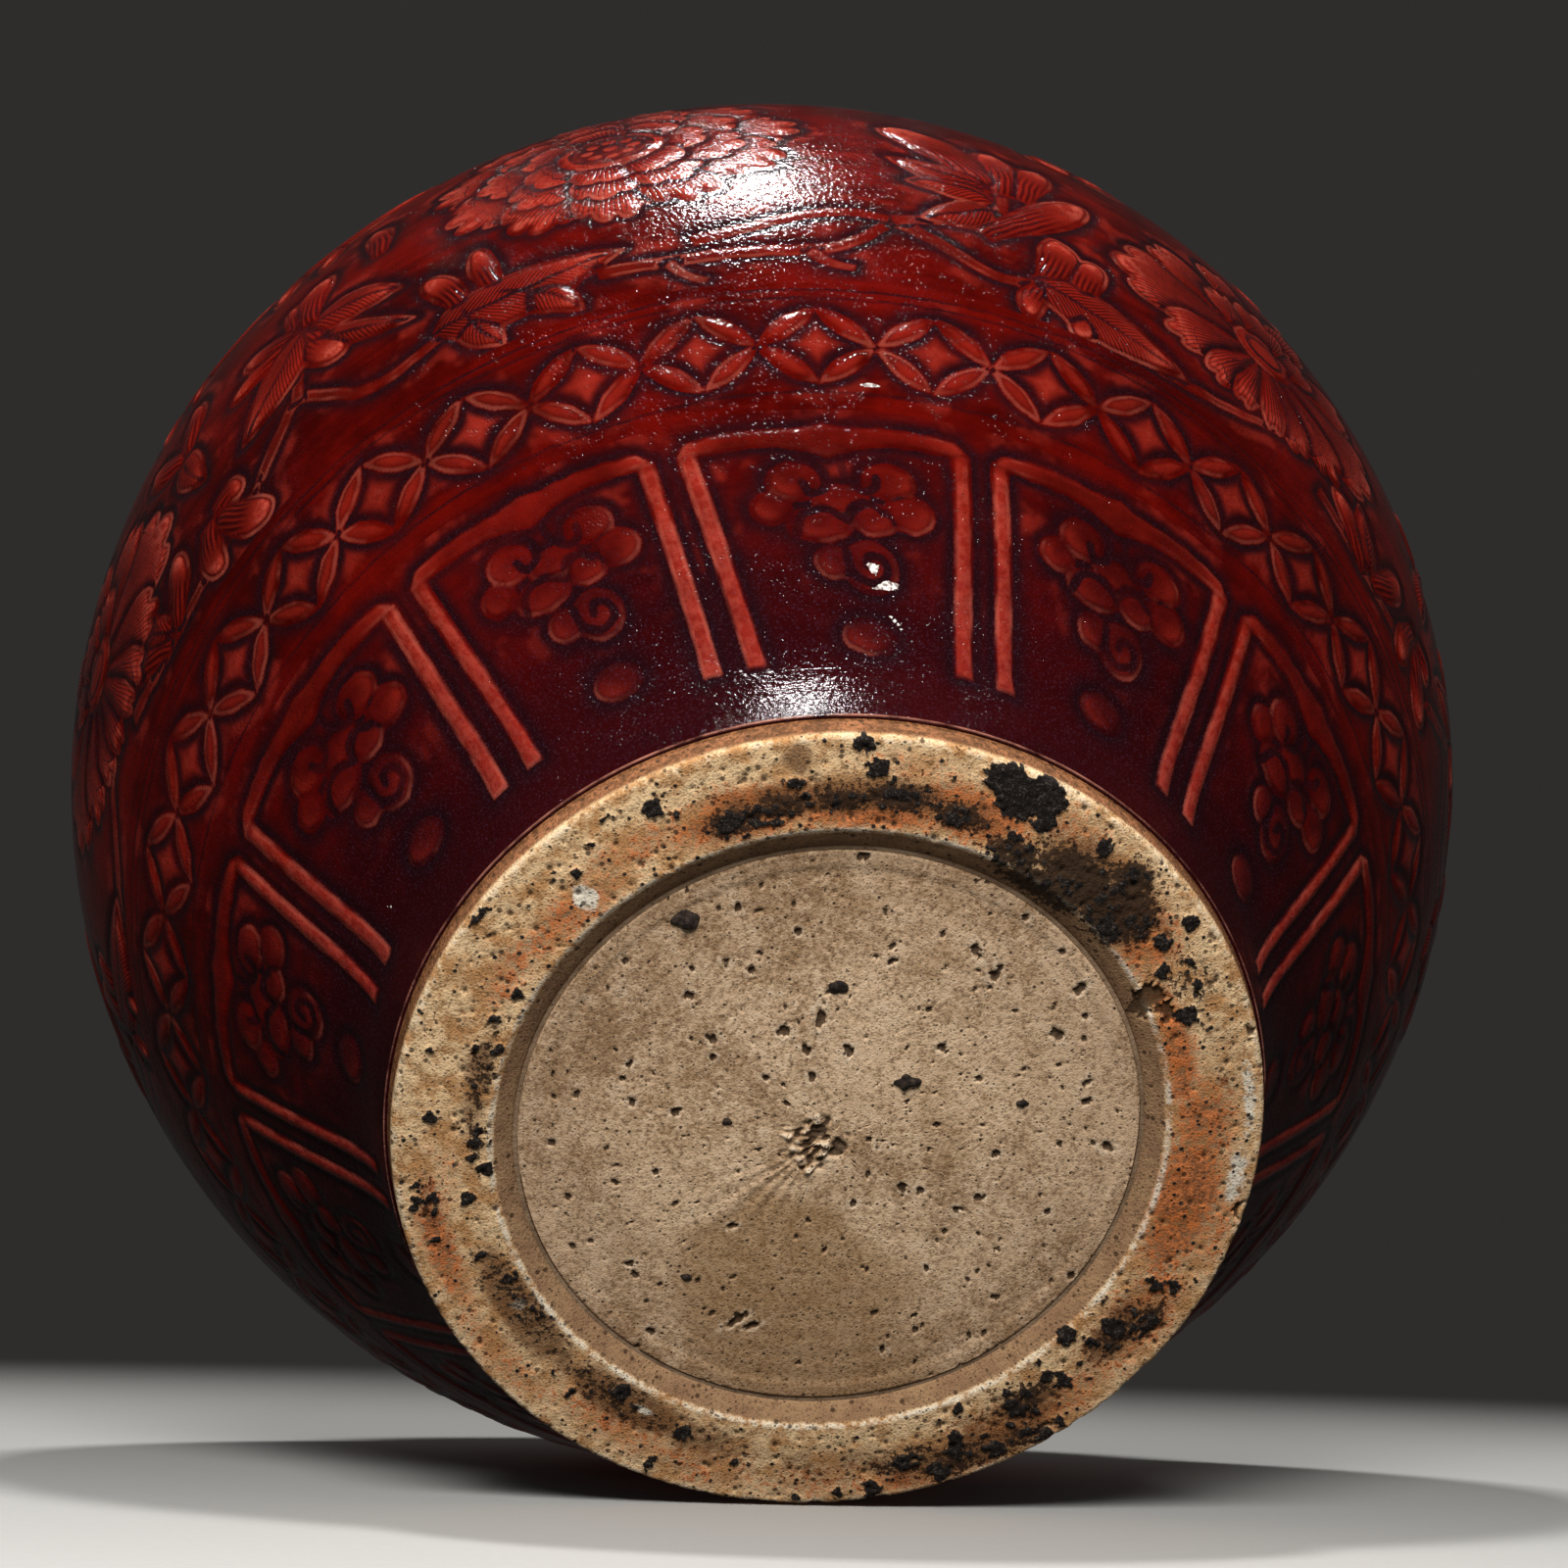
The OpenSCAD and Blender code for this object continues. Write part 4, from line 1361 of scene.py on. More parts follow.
def sprinkle(angle, r, rng, count, sizes):
    """Small round spots all over the foot's face: 1 in the middle of each."""
    spots = np.zeros(angle.shape)
    for _ in range(count):
        a, at_r, size = rng.uniform(-180, 180), rng.uniform(*SPRINKLED), rng.uniform(*sizes)
        beside = np.abs(off_angle(angle, a)) < SPRINKLE_REACH
        close = np.flatnonzero(beside & (np.abs(r - at_r) < SPRINKLE_REACH))
        away = np.hypot(np.radians(off_angle(angle[close], a)) * at_r, r[close] - at_r)
        spots[close] = np.maximum(spots[close], np.exp(-((away / size) ** 2)))
    return spots


print("Spots are strewn from radius", SPRINKLED[0], "to", SPRINKLED[1], "mm")

# %% [markdown]
# ## Foot ring
# The ring is spun from its section with many rows on the face that shows. Its face lies a hair above the
# floor so that the crusts, which stand out of it, are what touches. Pits and crusts are pushed into the
# mesh, the outer edge is worn, and the same fields are kept for the finish.

# %% Foot ring
WALL_T = 9.0
CAVITY = -GLAZE_T - WALL_T
FOOT_R = 85.0
FOOT_IN_R = 66.0
FOOT_EDGE = 0.9
RECESS_R = 61.8
RECESS_Z = 3.5
LEDGE_Z = 6.7
LEDGE_R = 69.8
FLOOR_Z = 13.5
FOOT_TOP = 17.5
FOOT_LAP_RUNS = np.array([11.0, 5.0])
HOLLOW_RUNS = np.linspace(0, 30, 60)
WALL_ROWS = 14
FACE_ROWS = 42
RECESS_ROWS = 12
FOOT_COLUMNS = 68
CRUST_H = 0.5
PIT_DEPTH = 0.5
TEAR_DEPTH = 0.9
PIT_COUNT = 260
PIT_SIZES = (0.3, 0.8)
GRAIN_COUNT = 420
GRAIN_SIZES = (0.3, 0.75)
WORN_MOST = 0.8


def foot_section():
    """Section of the foot ring, with many points where it shows."""
    outside = np.linspace(wall_at(0, -GLAZE_T), (FOOT_R, FOOT_EDGE), WALL_ROWS)
    chamfer = arc(np.array([FOOT_R - FOOT_EDGE, FOOT_EDGE]), FOOT_EDGE, 0, -90, 4)[1:]
    face = np.stack([np.linspace(FOOT_R - 1.4, FOOT_IN_R + 0.5, FACE_ROWS), np.zeros(FACE_ROWS)], 1)
    recess = np.linspace((FOOT_IN_R, 0.2), (RECESS_R, RECESS_Z), RECESS_ROWS)
    hollow_r, hollow_z = wall_at(HOLLOW_RUNS, CAVITY)
    hidden = [(RECESS_R, LEDGE_Z), (LEDGE_R, LEDGE_Z), (LEDGE_R, FLOOR_Z)]
    hidden += [(float(np.interp(z, hollow_z, hollow_r)), z) for z in (FLOOR_Z, FOOT_TOP)]
    lap = np.stack(wall_at(FOOT_LAP_RUNS, -GLAZE_T), 1)
    return np.concatenate([outside, chamfer, face, recess, hidden, lap])


def foot_ring():
    """The foot ring with its crusts, pits and worn edges."""
    mesh = spin_section("foot_ring_scorched", foot_section(), FOOT_COLUMNS)
    angle, r, z = read(mesh)
    rng = np.random.default_rng(23)

    # Crusts and tears with rough edges, crumbs in the soot, pits and grains
    rough, rougher = ragged(angle, r, 21), ragged(angle, r, 22, fine=2.4)
    jagged = 0.15 * rough + 0.35 * rougher
    face = smooth(1.0, 0.2, z)
    crust = smooth(-0.05, 0.35, patch(angle, r, CRUSTS) + jagged) * smooth(3.0, 0.5, z)
    tear = smooth(0.0, 0.5, patch(angle, r, TEARS) + 1.5 * jagged) * smooth(5.0, 3.0, z)
    crumbs = patch(angle, r, strewn_crumbs(rng))
    crust = np.maximum(crust, smooth(0.0, 0.3, crumbs + 0.6 * jagged) * face)
    soot = zone(angle, r, SOOT)
    pit = sprinkle(angle, r, rng, PIT_COUNT, PIT_SIZES)
    grain = sprinkle(angle, r, rng, GRAIN_COUNT, GRAIN_SIZES)

    # What stands out of the face reaches down to the floor, and the outer edge is worn back
    cake = np.maximum(crust * (0.8 + 0.3 * rougher), 0.45 * smooth(0.4, 0.9, soot) * (1 + 0.5 * rougher))
    lower = CRUST_H * np.clip(cake + 0.3 * grain * face, 0, 1)
    raise_by = CRUST_H + (PIT_DEPTH * pit + 0.06 * rough) * face + TEAR_DEPTH * tear - lower
    worn = 0.5 * smooth(0.2, 1.4, ragged(angle, r, 26, fine=0.35)) + 0.12 * rougher
    edge = smooth(1.6, 0.6, z) * smooth(FOOT_R - 2.5, FOOT_R - 0.6, r)
    shown = z < FOOT_TOP / 2
    new_r = r - np.where(shown, edge * np.clip(worn, 0, WORN_MOST), 0)
    new_z = np.where(shown, np.maximum(z + raise_by * smooth(3.0, 0.0, z), 0), z)
    write(mesh, angle, new_r, new_z)
    keep(mesh, {"crust": crust, "pit": np.maximum(pit, tear), "grain": grain, "soot": soot})
    keep(mesh, {"flush": zone(angle, r, FLUSHES), "stain": zone(angle, r, STAINS)})
    keep(mesh, {"chalk": zone(angle, r, CHALKY)})
    soften(mesh)
    return link(mesh, "foot_clay", "foot_ring")


foot = foot_ring()

# %% [markdown]
# ## Base disc
# The base is a grey-tan slab, unglazed and pitted, with a torn scar in the middle and a faint second step
# near its edge. A hand wiped it with wet fingers, which left rays and a browner patch on one side of the
# scar; the browner patch is partly painted shade on that side. It is spun as a disc, with rows close enough
# to take the pits. The pole in the middle is merged into one vertex.

# %% Base disc
DISC_R = 61.0
RIM_R = 69.0
RIM_Z = 7.5
STEP_R = 57.5
STEP_H = 0.25
BASE_ROWS = 118
BASE_COLUMNS = 48
SCAR = np.array([-3.3, 2.2])
WIPED_WAY = 128
WIPED_AND_SHADED_MIDDLE = (12, 28)
SMALL_PITS = 720
PIT_REACH = 5
RIMMED = 0.75
# A large pit has its place and half its width and height, in mm.
BIG_PITS = [
    (-4.5, -25.3, 2.4, 1.1), (1.6, -18.8, 1.3, 1.2), (-6.5, -18.6, 1.2, 1.0), (-11.2, -22.4, 1.5, 1.1),
    (-24.6, -20.2, 1.3, 1.1), (-4.6, -12.6, 1.0, 1.1), (15.4, 11.2, 1.3, 1.0), (18.4, 11.8, 1.0, 0.9),
    (26.3, 15.9, 1.1, 0.9), (55.0, 0.3, 1.2, 1.6), (-15.4, 43.1, 3.0, 0.8), (-12.0, 44.0, 1.6, 0.8),
    (28.0, -36.0, 1.4, 1.1), (24.0, -41.0, 2.2, 0.9), (42.0, -24.0, 1.2, 1.4), (20.0, -20.0, 1.3, 1.0),
    (-40.0, -14.0, 0.9, 0.8), (8.0, -38.0, 1.0, 0.8), (33.0, 3.0, 1.0, 0.8), (45.0, -34.0, 1.6, 1.0),
]


def base_section():
    """Section of the disc, from the pole out along the face that shows, and back."""
    face = np.stack([np.linspace(0, DISC_R - 0.4, BASE_ROWS), np.full(BASE_ROWS, RECESS_Z)], 1)
    edge = [(DISC_R, RECESS_Z + 0.3), (DISC_R, RIM_Z), (RIM_R, RIM_Z), (RIM_R, FLOOR_Z), (0, FLOOR_Z)]
    return np.concatenate([face, edge])


def strewn_pits(rng):
    """The large pits and many small ones."""
    pits = list(BIG_PITS)
    for _ in range(SMALL_PITS):
        at_r, a = DISC_R * math.sqrt(rng.uniform(0, 1)), rng.uniform(0, ANY_PHASE)
        size = 0.25 + 0.6 * rng.uniform(0, 1) ** 5
        pits.append((at_r * math.cos(a), at_r * math.sin(a), size * rng.uniform(0.9, 1.6), size))
    return pits


def pitted(x, y, rng, jagged):
    """Two fields: 1 in the pits, and the raised rims of the larger ones."""
    pit, rim = np.zeros(len(x)), np.zeros(len(x))
    for px, py, wide, high in strewn_pits(rng):
        lean = rng.uniform(0, math.pi)
        close = np.flatnonzero((np.abs(x - px) < PIT_REACH) & (np.abs(y - py) < PIT_REACH))
        dx, dy = x[close] - px, y[close] - py
        along = dx * math.cos(lean) + dy * math.sin(lean)
        across = dy * math.cos(lean) - dx * math.sin(lean)
        away = np.hypot(along / wide, across / high) + jagged[close]
        pit[close] = np.maximum(pit[close], smooth(1.0, 0.55, away) * min(1, high + 0.2))
        if high > RIMMED:
            rim[close] = np.maximum(rim[close], 0.6 * np.exp(-(((away - 1.35) / 0.35) ** 2)))
    return pit, rim


def base_disc():
    """The pitted slab that closes the jar."""
    mesh = spin_section("base_disc_pitted", base_section(), BASE_COLUMNS)
    angle, r, z = read(mesh)
    x, y = r * np.cos(np.radians(angle)), r * np.sin(np.radians(angle))

    def rough(seed, fine):
        return ragged(angle, r, seed, fine)

    # Pits, the scar, rays of a wiping hand, the step and faint turning rings
    rng = np.random.default_rng(31)
    pit, rim = pitted(x, y, rng, 0.3 * rough(32, 2.2))
    dx, dy = x - SCAR[0], y - SCAR[1]
    away = np.hypot(dx, dy)
    torn = smooth(7.4, 4.2, away + 1.5 * rough(33, 0.9))
    flakes = np.sin(7 * np.arctan2(dy, dx) + 3.0 * rough(34, 0.5))
    scar = torn * (0.1 + 0.22 * flakes + 0.5 * rough(37, 1.1) + 0.35 * rough(39, 2.2))
    sweep = off_angle(np.degrees(np.arctan2(dy, dx)), WIPED_WAY)
    brushed = smooth(40, 10, np.abs(sweep)) * smooth(3, 9, away) * smooth(40, 14, away)
    rays = brushed * np.sin(sweep * 0.55 + 1.2 * rough(36, 0.15))
    step = smooth(STEP_R - 0.7, STEP_R + 0.7, r)
    rings = sum(np.sin(r * rng.uniform(0.7, 2.4) + rng.uniform(0, ANY_PHASE)) for _ in range(4))
    swell = 0.12 * rough(35, 0.08) + 0.012 * (rings * smooth(6, 16, r))
    depth = 0.6 * pit - 0.08 * rim + 0.8 * scar + 0.1 * rays + swell - STEP_H * step
    shown = z < RECESS_Z + 0.2
    write(mesh, angle, r, np.where(shown, z + depth, z))
    # The browner wiped patch on one side of the scar, which is partly painted shade on that side of the base
    turned = -sweep + 9 * rough(38, 0.12)
    wiped_and_shaded = smooth(6, 18, away) * smooth(-20, 0, turned) * smooth(95, 55, turned)
    wiped_and_shaded = wiped_and_shaded * smooth(46, 30, np.hypot(dx - WIPED_AND_SHADED_MIDDLE[0], dy - WIPED_AND_SHADED_MIDDLE[1]))
    fields = {"pit": pit, "scar": scar, "rim": rim, "wiped_and_shaded": wiped_and_shaded}
    keep(mesh, {label: np.where(shown, values, 0) for label, values in fields.items()})
    soften(mesh)
    return link(mesh, "base_clay", "base_disc")


base = base_disc()

# %% [markdown]
# ## Kiln grit
# Grains of iron-rich grit melted onto the base. Each is a ball from create_icosphere, roughened by a few
# waves, flattened, and sunk a little into the clay that it is stuck to. They are one piece, as they are one
# node of the CAD. A grain is told by its angle, its share of the disc's radius, and its size.

# %% Kiln grit
GRAINS = [
    (235, 0.9, 1), (318, 0.3, 0.9), (267, 0.53, 0.75), (347, 0.62, 0.45), (128, 0.69, 0.4), (186, 0.34, 0.4),
]
GRAIN_SHAPE = np.array([2.6, 1.95, 1.2])
GRAIN_SUNK = 0.15
GRAIN_WAVES = 7
WAVE_FINE = 2.6
WAVE_H = 0.07


def kiln_grit():
    """Rough lumps under the base."""
    shape = bmesh.new()
    rng = np.random.default_rng(41)
    for angle, share, size in GRAINS:
        lump = bmesh.ops.create_icosphere(shape, subdivisions=4, radius=1)["verts"]
        waves = rng.normal(0, WAVE_FINE, (GRAIN_WAVES, 3))
        phases = rng.uniform(0, ANY_PHASE, GRAIN_WAVES)
        for vert in lump:
            vert.co *= 1 + WAVE_H * np.sin(waves @ np.array(vert.co) + phases).sum()
        bmesh.ops.scale(shape, verts=lump, vec=GRAIN_SHAPE * size * MM)
        middle = DISC_R * share * turn_by(angle)
        bmesh.ops.translate(shape, verts=lump, vec=Vector((*middle, RECESS_Z + GRAIN_SUNK)) * MM)
    mesh = to_mesh("kiln_grit_lumps", shape)
    mesh.shade_smooth()
    return link(mesh, "grit", "kiln_grit")


grit = kiln_grit()

# %% [markdown]
# ## Clay of the foot
# Fired clay is matt. Its colour comes from the kiln: cream where the flame passed, orange where iron came
# to the surface. Cells give specks and pores, noise gives the blush, and the fields kept on the mesh place
# scorch, stains, soot and crusts, with painted highlights on the crusts. The radius tells the resting face
# from the brown wall outside it and the tan recess inside, which is darkened as painted shade.

# %% Foot clay finish
CREAM = tone(234, 199, 152)
BUFF = tone(186, 136, 88)
FLUSH = tone(200, 108, 52)
FLUSH_DARK = tone(136, 72, 36)
STAIN = tone(116, 78, 48)
CHALK = tone(226, 214, 192)
WALL_BROWN = tone(104, 68, 42)
WALL_TAN = tone(156, 102, 66)
# Tans of the recess, darkened to paint the shade inside it
RECESS_SHADED_TAN = tone(142, 108, 80)
RECESS_SHADED_PALE = tone(160, 126, 92)
SPECK = tone(56, 40, 28)
SOOT_BROWN = tone(44, 34, 27)
CRUST_BLACK = tone(32, 28, 26)
# Grey painted on the crusts as highlights of their relief
CRUST_HIGHLIGHT_GREY = tone(86, 76, 68)
MATT = {"roughness": 0.85, "specular": 0.2}
SCORCH_SHARE = 0.9
STAIN_SHARE = 0.85
INNER_LINE_SHARE = 0.8
OUTER_LINE_SHARE = 0.5
SPECK_SHARE = 0.85
GRIME_SHARE = 0.5
SOOT_SHARE = 0.9
CRUST_HIGHLIGHT_SHARE = 0.75


def radius_mm(f):
    """Distance from the jar's axis in mm, from Object coordinates."""
    return f.math("DIVIDE", f.length(f.stretch(1, 1, 0)), MM)


def foot_clay():
    """Scorched clay of the foot."""
    f = Finish("scorched_foot_clay", **MATT)
    names = ("crust", "grain", "pit", "soot", "stain")
    crust, grain, pit, soot, stain = map(f.attribute, names)
    r = radius_mm(f)
    blotch = f.noise(6, 5.0, 0.65)
    gritty = f.noise(1.2, 4.0, 0.7)
    fine = f.noise(0.45, 3.0, 0.6)
    rough = (gritty - 0.5) * 1.6
    cloudy = rough + (blotch - 0.5) * 1.4

    # Cream clay, scorched, stained and chalky
    f.colour(f.mix(f.ease(blotch + rough * 0.2, 0.36, 0.6), BUFF, CREAM))
    flush = f.attribute("flush") + 0.06 + cloudy * 1.25
    scorched = f.mix(f.ease(gritty, 0.4, 0.6), FLUSH_DARK, FLUSH)
    f.cover(f.ease(flush, 0.25, 0.95) * SCORCH_SHARE, scorched)
    stain = stain + soot * 0.6 + cloudy * 0.9
    f.cover(f.ease(stain, 0.32, 0.85) * STAIN_SHARE, STAIN)
    chalk = f.attribute("chalk") + cloudy * 0.7
    f.cover(f.ease(chalk, 0.45, 0.75), CHALK)

    # Pale lines along both edges of the face, the recess inside, darkened as painted shade, and the wall
    # outside
    inner_line = f.near(r, FOOT_IN_R + 0.1, 0.9) * f.ease(cloudy, -0.3, 0.2)
    outer_line = f.near(r, FOOT_R - 0.7, 0.9) * f.ease(cloudy, -0.1, 0.3)
    f.cover(f.most(inner_line * INNER_LINE_SHARE, outer_line * OUTER_LINE_SHARE), CHALK)
    # The recess: tan clay darkened to paint its shade
    tan = f.mix(f.ease(blotch, 0.35, 0.65), RECESS_SHADED_TAN, RECESS_SHADED_PALE)
    f.cover(f.ease(r + rough * 0.6, FOOT_IN_R - 0.3, FOOT_IN_R - 0.9), tan)
    brown = f.mix(f.ease(blotch + rough, 0.3, 0.8), WALL_BROWN, WALL_TAN)
    f.cover(f.ease(r + rough * 0.2, FOOT_R - 0.1, FOOT_R + 0.25), brown)

    # Specks, pits and grime, then soot and crusts over all, with painted highlights on the crusts
    specks = f.spots(1.1, 0.34, 0.16) * f.ease(gritty, 0.47, 0.58)
    flecks = f.spots(2.7, 0.26, 0.12) * f.ease(blotch, 0.4, 0.5)
    specks = f.most(specks, flecks) * SPECK_SHARE
    grime = f.ease(gritty + fine, 1.0, 0.78) * GRIME_SHARE
    pits = f.ease(pit, 0.3, 0.8) * SPECK_SHARE
    f.cover(f.most(f.most(specks, pits), grime), SPECK)
    f.cover(f.ease(soot + rough * 2.1, 0.45, 0.62) * SOOT_SHARE, SOOT_BROWN)
    black = f.most(f.ease(crust, 0.2, 0.6), f.ease(grain, 0.5, 0.75))
    # Grey patches on the crusts are painted highlights of their relief
    crust_highlights = f.ease(gritty + fine, 1.0, 1.24) * CRUST_HIGHLIGHT_SHARE
    f.cover(black, f.mix(crust_highlights, CRUST_BLACK, CRUST_HIGHLIGHT_GREY))
    f.bump(fine * 0.5 + gritty * 0.6 - specks * 0.3, 0.5)
    return f.material


foot.data.materials.append(foot_clay())
print("Foot clay on", foot.name)

# %% [markdown]
# ## Clay of the base
# The base lay in the shelter of the foot, so the flame left it grey-tan. It is paler where it was torn,
# browner where it was wiped, which is partly painted shade, darker towards its edge with painted shade
# from the recess wall, and dark in its pits.

# %% Base clay finish
BASE_TAN = tone(230, 196, 158)
BASE_BROWN = tone(160, 126, 92)
BASE_PALE = tone(222, 200, 172)
# Brown of the rust and of the wiped patch, which is partly painted shade
WIPE_RUST_AND_SHADE_BROWN = tone(150, 112, 70)
PALE_SHARE = 0.45
WIPED_AND_SHADED_SHARE = 0.65
RUST_SHARE = 0.32
# Share of the painted shade towards the base's edge
EDGE_SHADE_SHARE = 0.28
BASE_SPECK_SHARE = 0.9
HOLE_SHARE = 0.9


def base_clay():
    """Grey-tan clay of the base."""
    f = Finish("pitted_base_clay", **MATT)
    scar = f.attribute("scar")
    broad = f.noise(34, 4.0, 0.6)
    blotch = f.noise(5, 5.0, 0.65)
    gritty = f.noise(1.1, 4.0, 0.7)
    fine = f.noise(0.45, 3.0, 0.6)

    # Tan clay, pale grain, a wiped patch partly of painted shade, faint rust, and painted shade at the edge
    shade = broad * 0.5 + blotch * 0.5 + (gritty - 0.5) * 0.5
    f.colour(f.mix(f.ease(shade, 0.34, 0.62), BASE_BROWN, BASE_TAN))
    f.cover(f.ease(blotch + gritty, 1.06, 1.3) * PALE_SHARE, BASE_PALE)
    # The wiped patch, browner, is partly painted shade on that side of the base
    wiped_and_shaded = f.attribute("wiped_and_shaded") + (blotch - 0.5) * 1.2
    f.cover(f.ease(wiped_and_shaded, 0.3, 0.9) * WIPED_AND_SHADED_SHARE, WIPE_RUST_AND_SHADE_BROWN)
    rust = f.ease(f.noise(15, 4.0, 0.65), 0.54, 0.68)
    f.cover(rust * RUST_SHARE, WIPE_RUST_AND_SHADE_BROWN)
    # Darker towards the edge, in the stain colour: painted shade from the recess wall
    edge = f.ease(radius_mm(f) + (blotch - 0.5) * 20, 26, 62)
    f.cover(edge * EDGE_SHADE_SHARE, STAIN)

    # Pale torn clay, then specks, grime and pits
    torn = f.most(f.attribute("rim"), f.ease(scar, 0.05, -0.35))
    f.cover(torn * f.ease(gritty, 0.35, 0.55), BASE_PALE)
    specks = f.spots(0.9, 0.34, 0.16) * f.ease(gritty, 0.5, 0.6)
    flecks = f.spots(2.2, 0.2, 0.1) * f.ease(blotch, 0.42, 0.52)
    specks = f.most(specks, flecks) * BASE_SPECK_SHARE
    grime = f.ease(gritty + fine, 1.0, 0.78) * GRIME_SHARE
    f.cover(f.most(specks, grime), SPECK)
    holes = f.most(f.ease(f.attribute("pit"), 0.15, 0.5), f.ease(scar, 0.2, 0.5))
    f.cover(holes * HOLE_SHARE, SPECK)
    f.bump(fine * 0.5 + gritty * 0.5 - specks * 0.3, 0.4)
    return f.material


base.data.materials.append(base_clay())
print("Base clay on", base.name)

# %% [markdown]
# ## Grit, body clay and slip
# The grit is nearly black and a little glossy, because iron melted in the kiln. The body and the slip that
# joins its sections lie under the glaze and show only when the jar is taken apart, so they keep their CAD
# shapes and get a plain clay: the body pale, the slip browner.

# %% Grit, body clay and slip finishes
GRIT_DARK = tone(34, 29, 28)
GRIT_BROWN = tone(66, 54, 46)
BODY_TONES = (tone(196, 184, 166), tone(222, 212, 194))
SLIP_TONES = (tone(118, 94, 72), tone(150, 124, 98))
BODY_NODES = ("lower_body", "upper_body", "neck_ring")
SLIP_NODES = ("base_lute", "foot_lute", "belly_lute", "neck_lute")


def grit_black():
    """Melted iron grit."""
    f = Finish("iron_grit", roughness=0.6, specular=0.4)
    f.colour(f.mix(f.ease(f.noise(1.2, 4.0, 0.6), 0.4, 0.7), GRIT_DARK, GRIT_BROWN))
    f.bump(f.noise(0.5, 3.0, 0.6), 0.3)
    return f.material


def plain_clay(name, dark, pale):
    """Clay or slip inside the wall."""
    f = Finish(name, **MATT)
    f.colour(f.mix(f.ease(f.noise(8, 5.0, 0.6), 0.35, 0.65), dark, pale))
    f.cover(f.spots(1.8, 0.25, 0.1) * 0.5, SPECK)
    f.bump(f.noise(0.9, 4.0, 0.6), 0.25)
    return f.material


def dress(names, material):
    """Gives some CAD nodes their finish."""
    for name in names:
        nodes[name].data.materials.clear()
        nodes[name].data.materials.append(material)


grit.data.materials.append(grit_black())
dress(BODY_NODES, plain_clay("body_clay", *BODY_TONES))
dress(SLIP_NODES, plain_clay("luting_slip", *SLIP_TONES))
print("Dressed", ", ".join(BODY_NODES + SLIP_NODES))

# %% [markdown]
# ## Pale glaze inside
# Inside, the jar has a thin bluish-white glaze over the marks of the potter's fingers. It is spun as a
# smooth shell from the crest of the lip down the wall to the floor.

# %% Inner glaze
INNER_GLAZE_T = 0.5
INNER_COLUMNS = 18
INNER_WALL_ROWS = 120
INNER_FLOOR_ROWS = 24
INNER_LIP_ROWS = 14
FLOOR_RUN = float(np.interp(FLOOR_Z + 4, wall_points[:, 1], wall_run))
NECK_RUN = float(wall_run[-1 - LIP_POINTS])
PALE_TONES = (tone(206, 212, 206), tone(226, 228, 220))


def inside_line(coat):
    """The inside from the middle of the floor to the crest of the lip, with a coat on the clay."""
    runs = np.linspace(FLOOR_RUN, NECK_RUN, INNER_WALL_ROWS)
    wall = np.stack(wall_at(runs, CAVITY - coat), 1)
    floor_z = FLOOR_Z + coat
    wall = wall[wall[:, 1] > floor_z + 1]
    floor_r = np.linspace(0, wall[0, 0] - 2, INNER_FLOOR_ROWS)
    crest = arc(LIP_CENTRE, LIP_R - GLAZE_T + coat, 180, 90, INNER_LIP_ROWS)
    return np.concatenate([np.stack([floor_r, np.full(INNER_FLOOR_ROWS, floor_z)], 1), wall, crest])


def inner_glaze():
    """The shell of pale glaze inside."""
    section = np.concatenate([inside_line(INNER_GLAZE_T), inside_line(0.0)[::-1]])
    mesh = spin_section("inner_glaze_pale", section, INNER_COLUMNS)
    soften(mesh)
    return link(mesh, "pale_glaze", "inner_glaze")


def pale_glaze():
    """Bluish-white glaze with faint throwing rings."""
    f = Finish("pale_inner_glaze", roughness=0.15)
    f.colour(f.mix(f.ease(f.noise(35, 4.0, 0.5), 0.3, 0.7), *PALE_TONES))
    rings = f.noise(9, 2.0, 0.5, f.stretch(0.05, 0.05, 1.0))
    f.bump(rings + f.noise(2, 3.0) * 0.1, 0.6)
    return f.material


inner = inner_glaze()
inner.data.materials.append(pale_glaze())

# %% [markdown]
# ## Floors
# The jar lies on a pale floor that touches its foot and its belly. When the camera goes round the standing
# jar, a second floor lies under the foot. Both are seen only from above, so that neither hides the jar from
# below, and both fade out into the dark grey room.

# %% Floors
FLOOR_SIZE = 3.0
FADE_START = 0.35
FADE_END = 1.1
FLOOR_TONES = (tone(174, 172, 168), tone(182, 180, 176))
UNSEEN_BY = ("visible_diffuse", "visible_glossy", "visible_transmission", "visible_shadow")
lying_lean = float(np.max(np.arctan2(wall_points[:, 0] - FOOT_R, wall_points[:, 1])))


def pale_floor():
    """A pale floor that is seen from above only and fades out round the jar."""
    f = Finish("pale_floor", roughness=0.9, specular=0.1)
    f.colour(f.mix(f.noise(2, 3.0, 0.6), *FLOOR_TONES))
    fade = f.ease(f.length(f.place), FADE_START, FADE_END)
    behind = f.node("NewGeometry", {}, "Backfacing")
    solid = Wire(f, f.shader.outputs[0])
    clear = f.node("BsdfTransparent", {}, 0)
    mixed = f.node("MixShader", {0: f.most(fade, behind), 1: solid, 2: clear}, 0)
    f.feed(f.tree.nodes["Material Output"].inputs["Surface"], mixed)
    return f.material


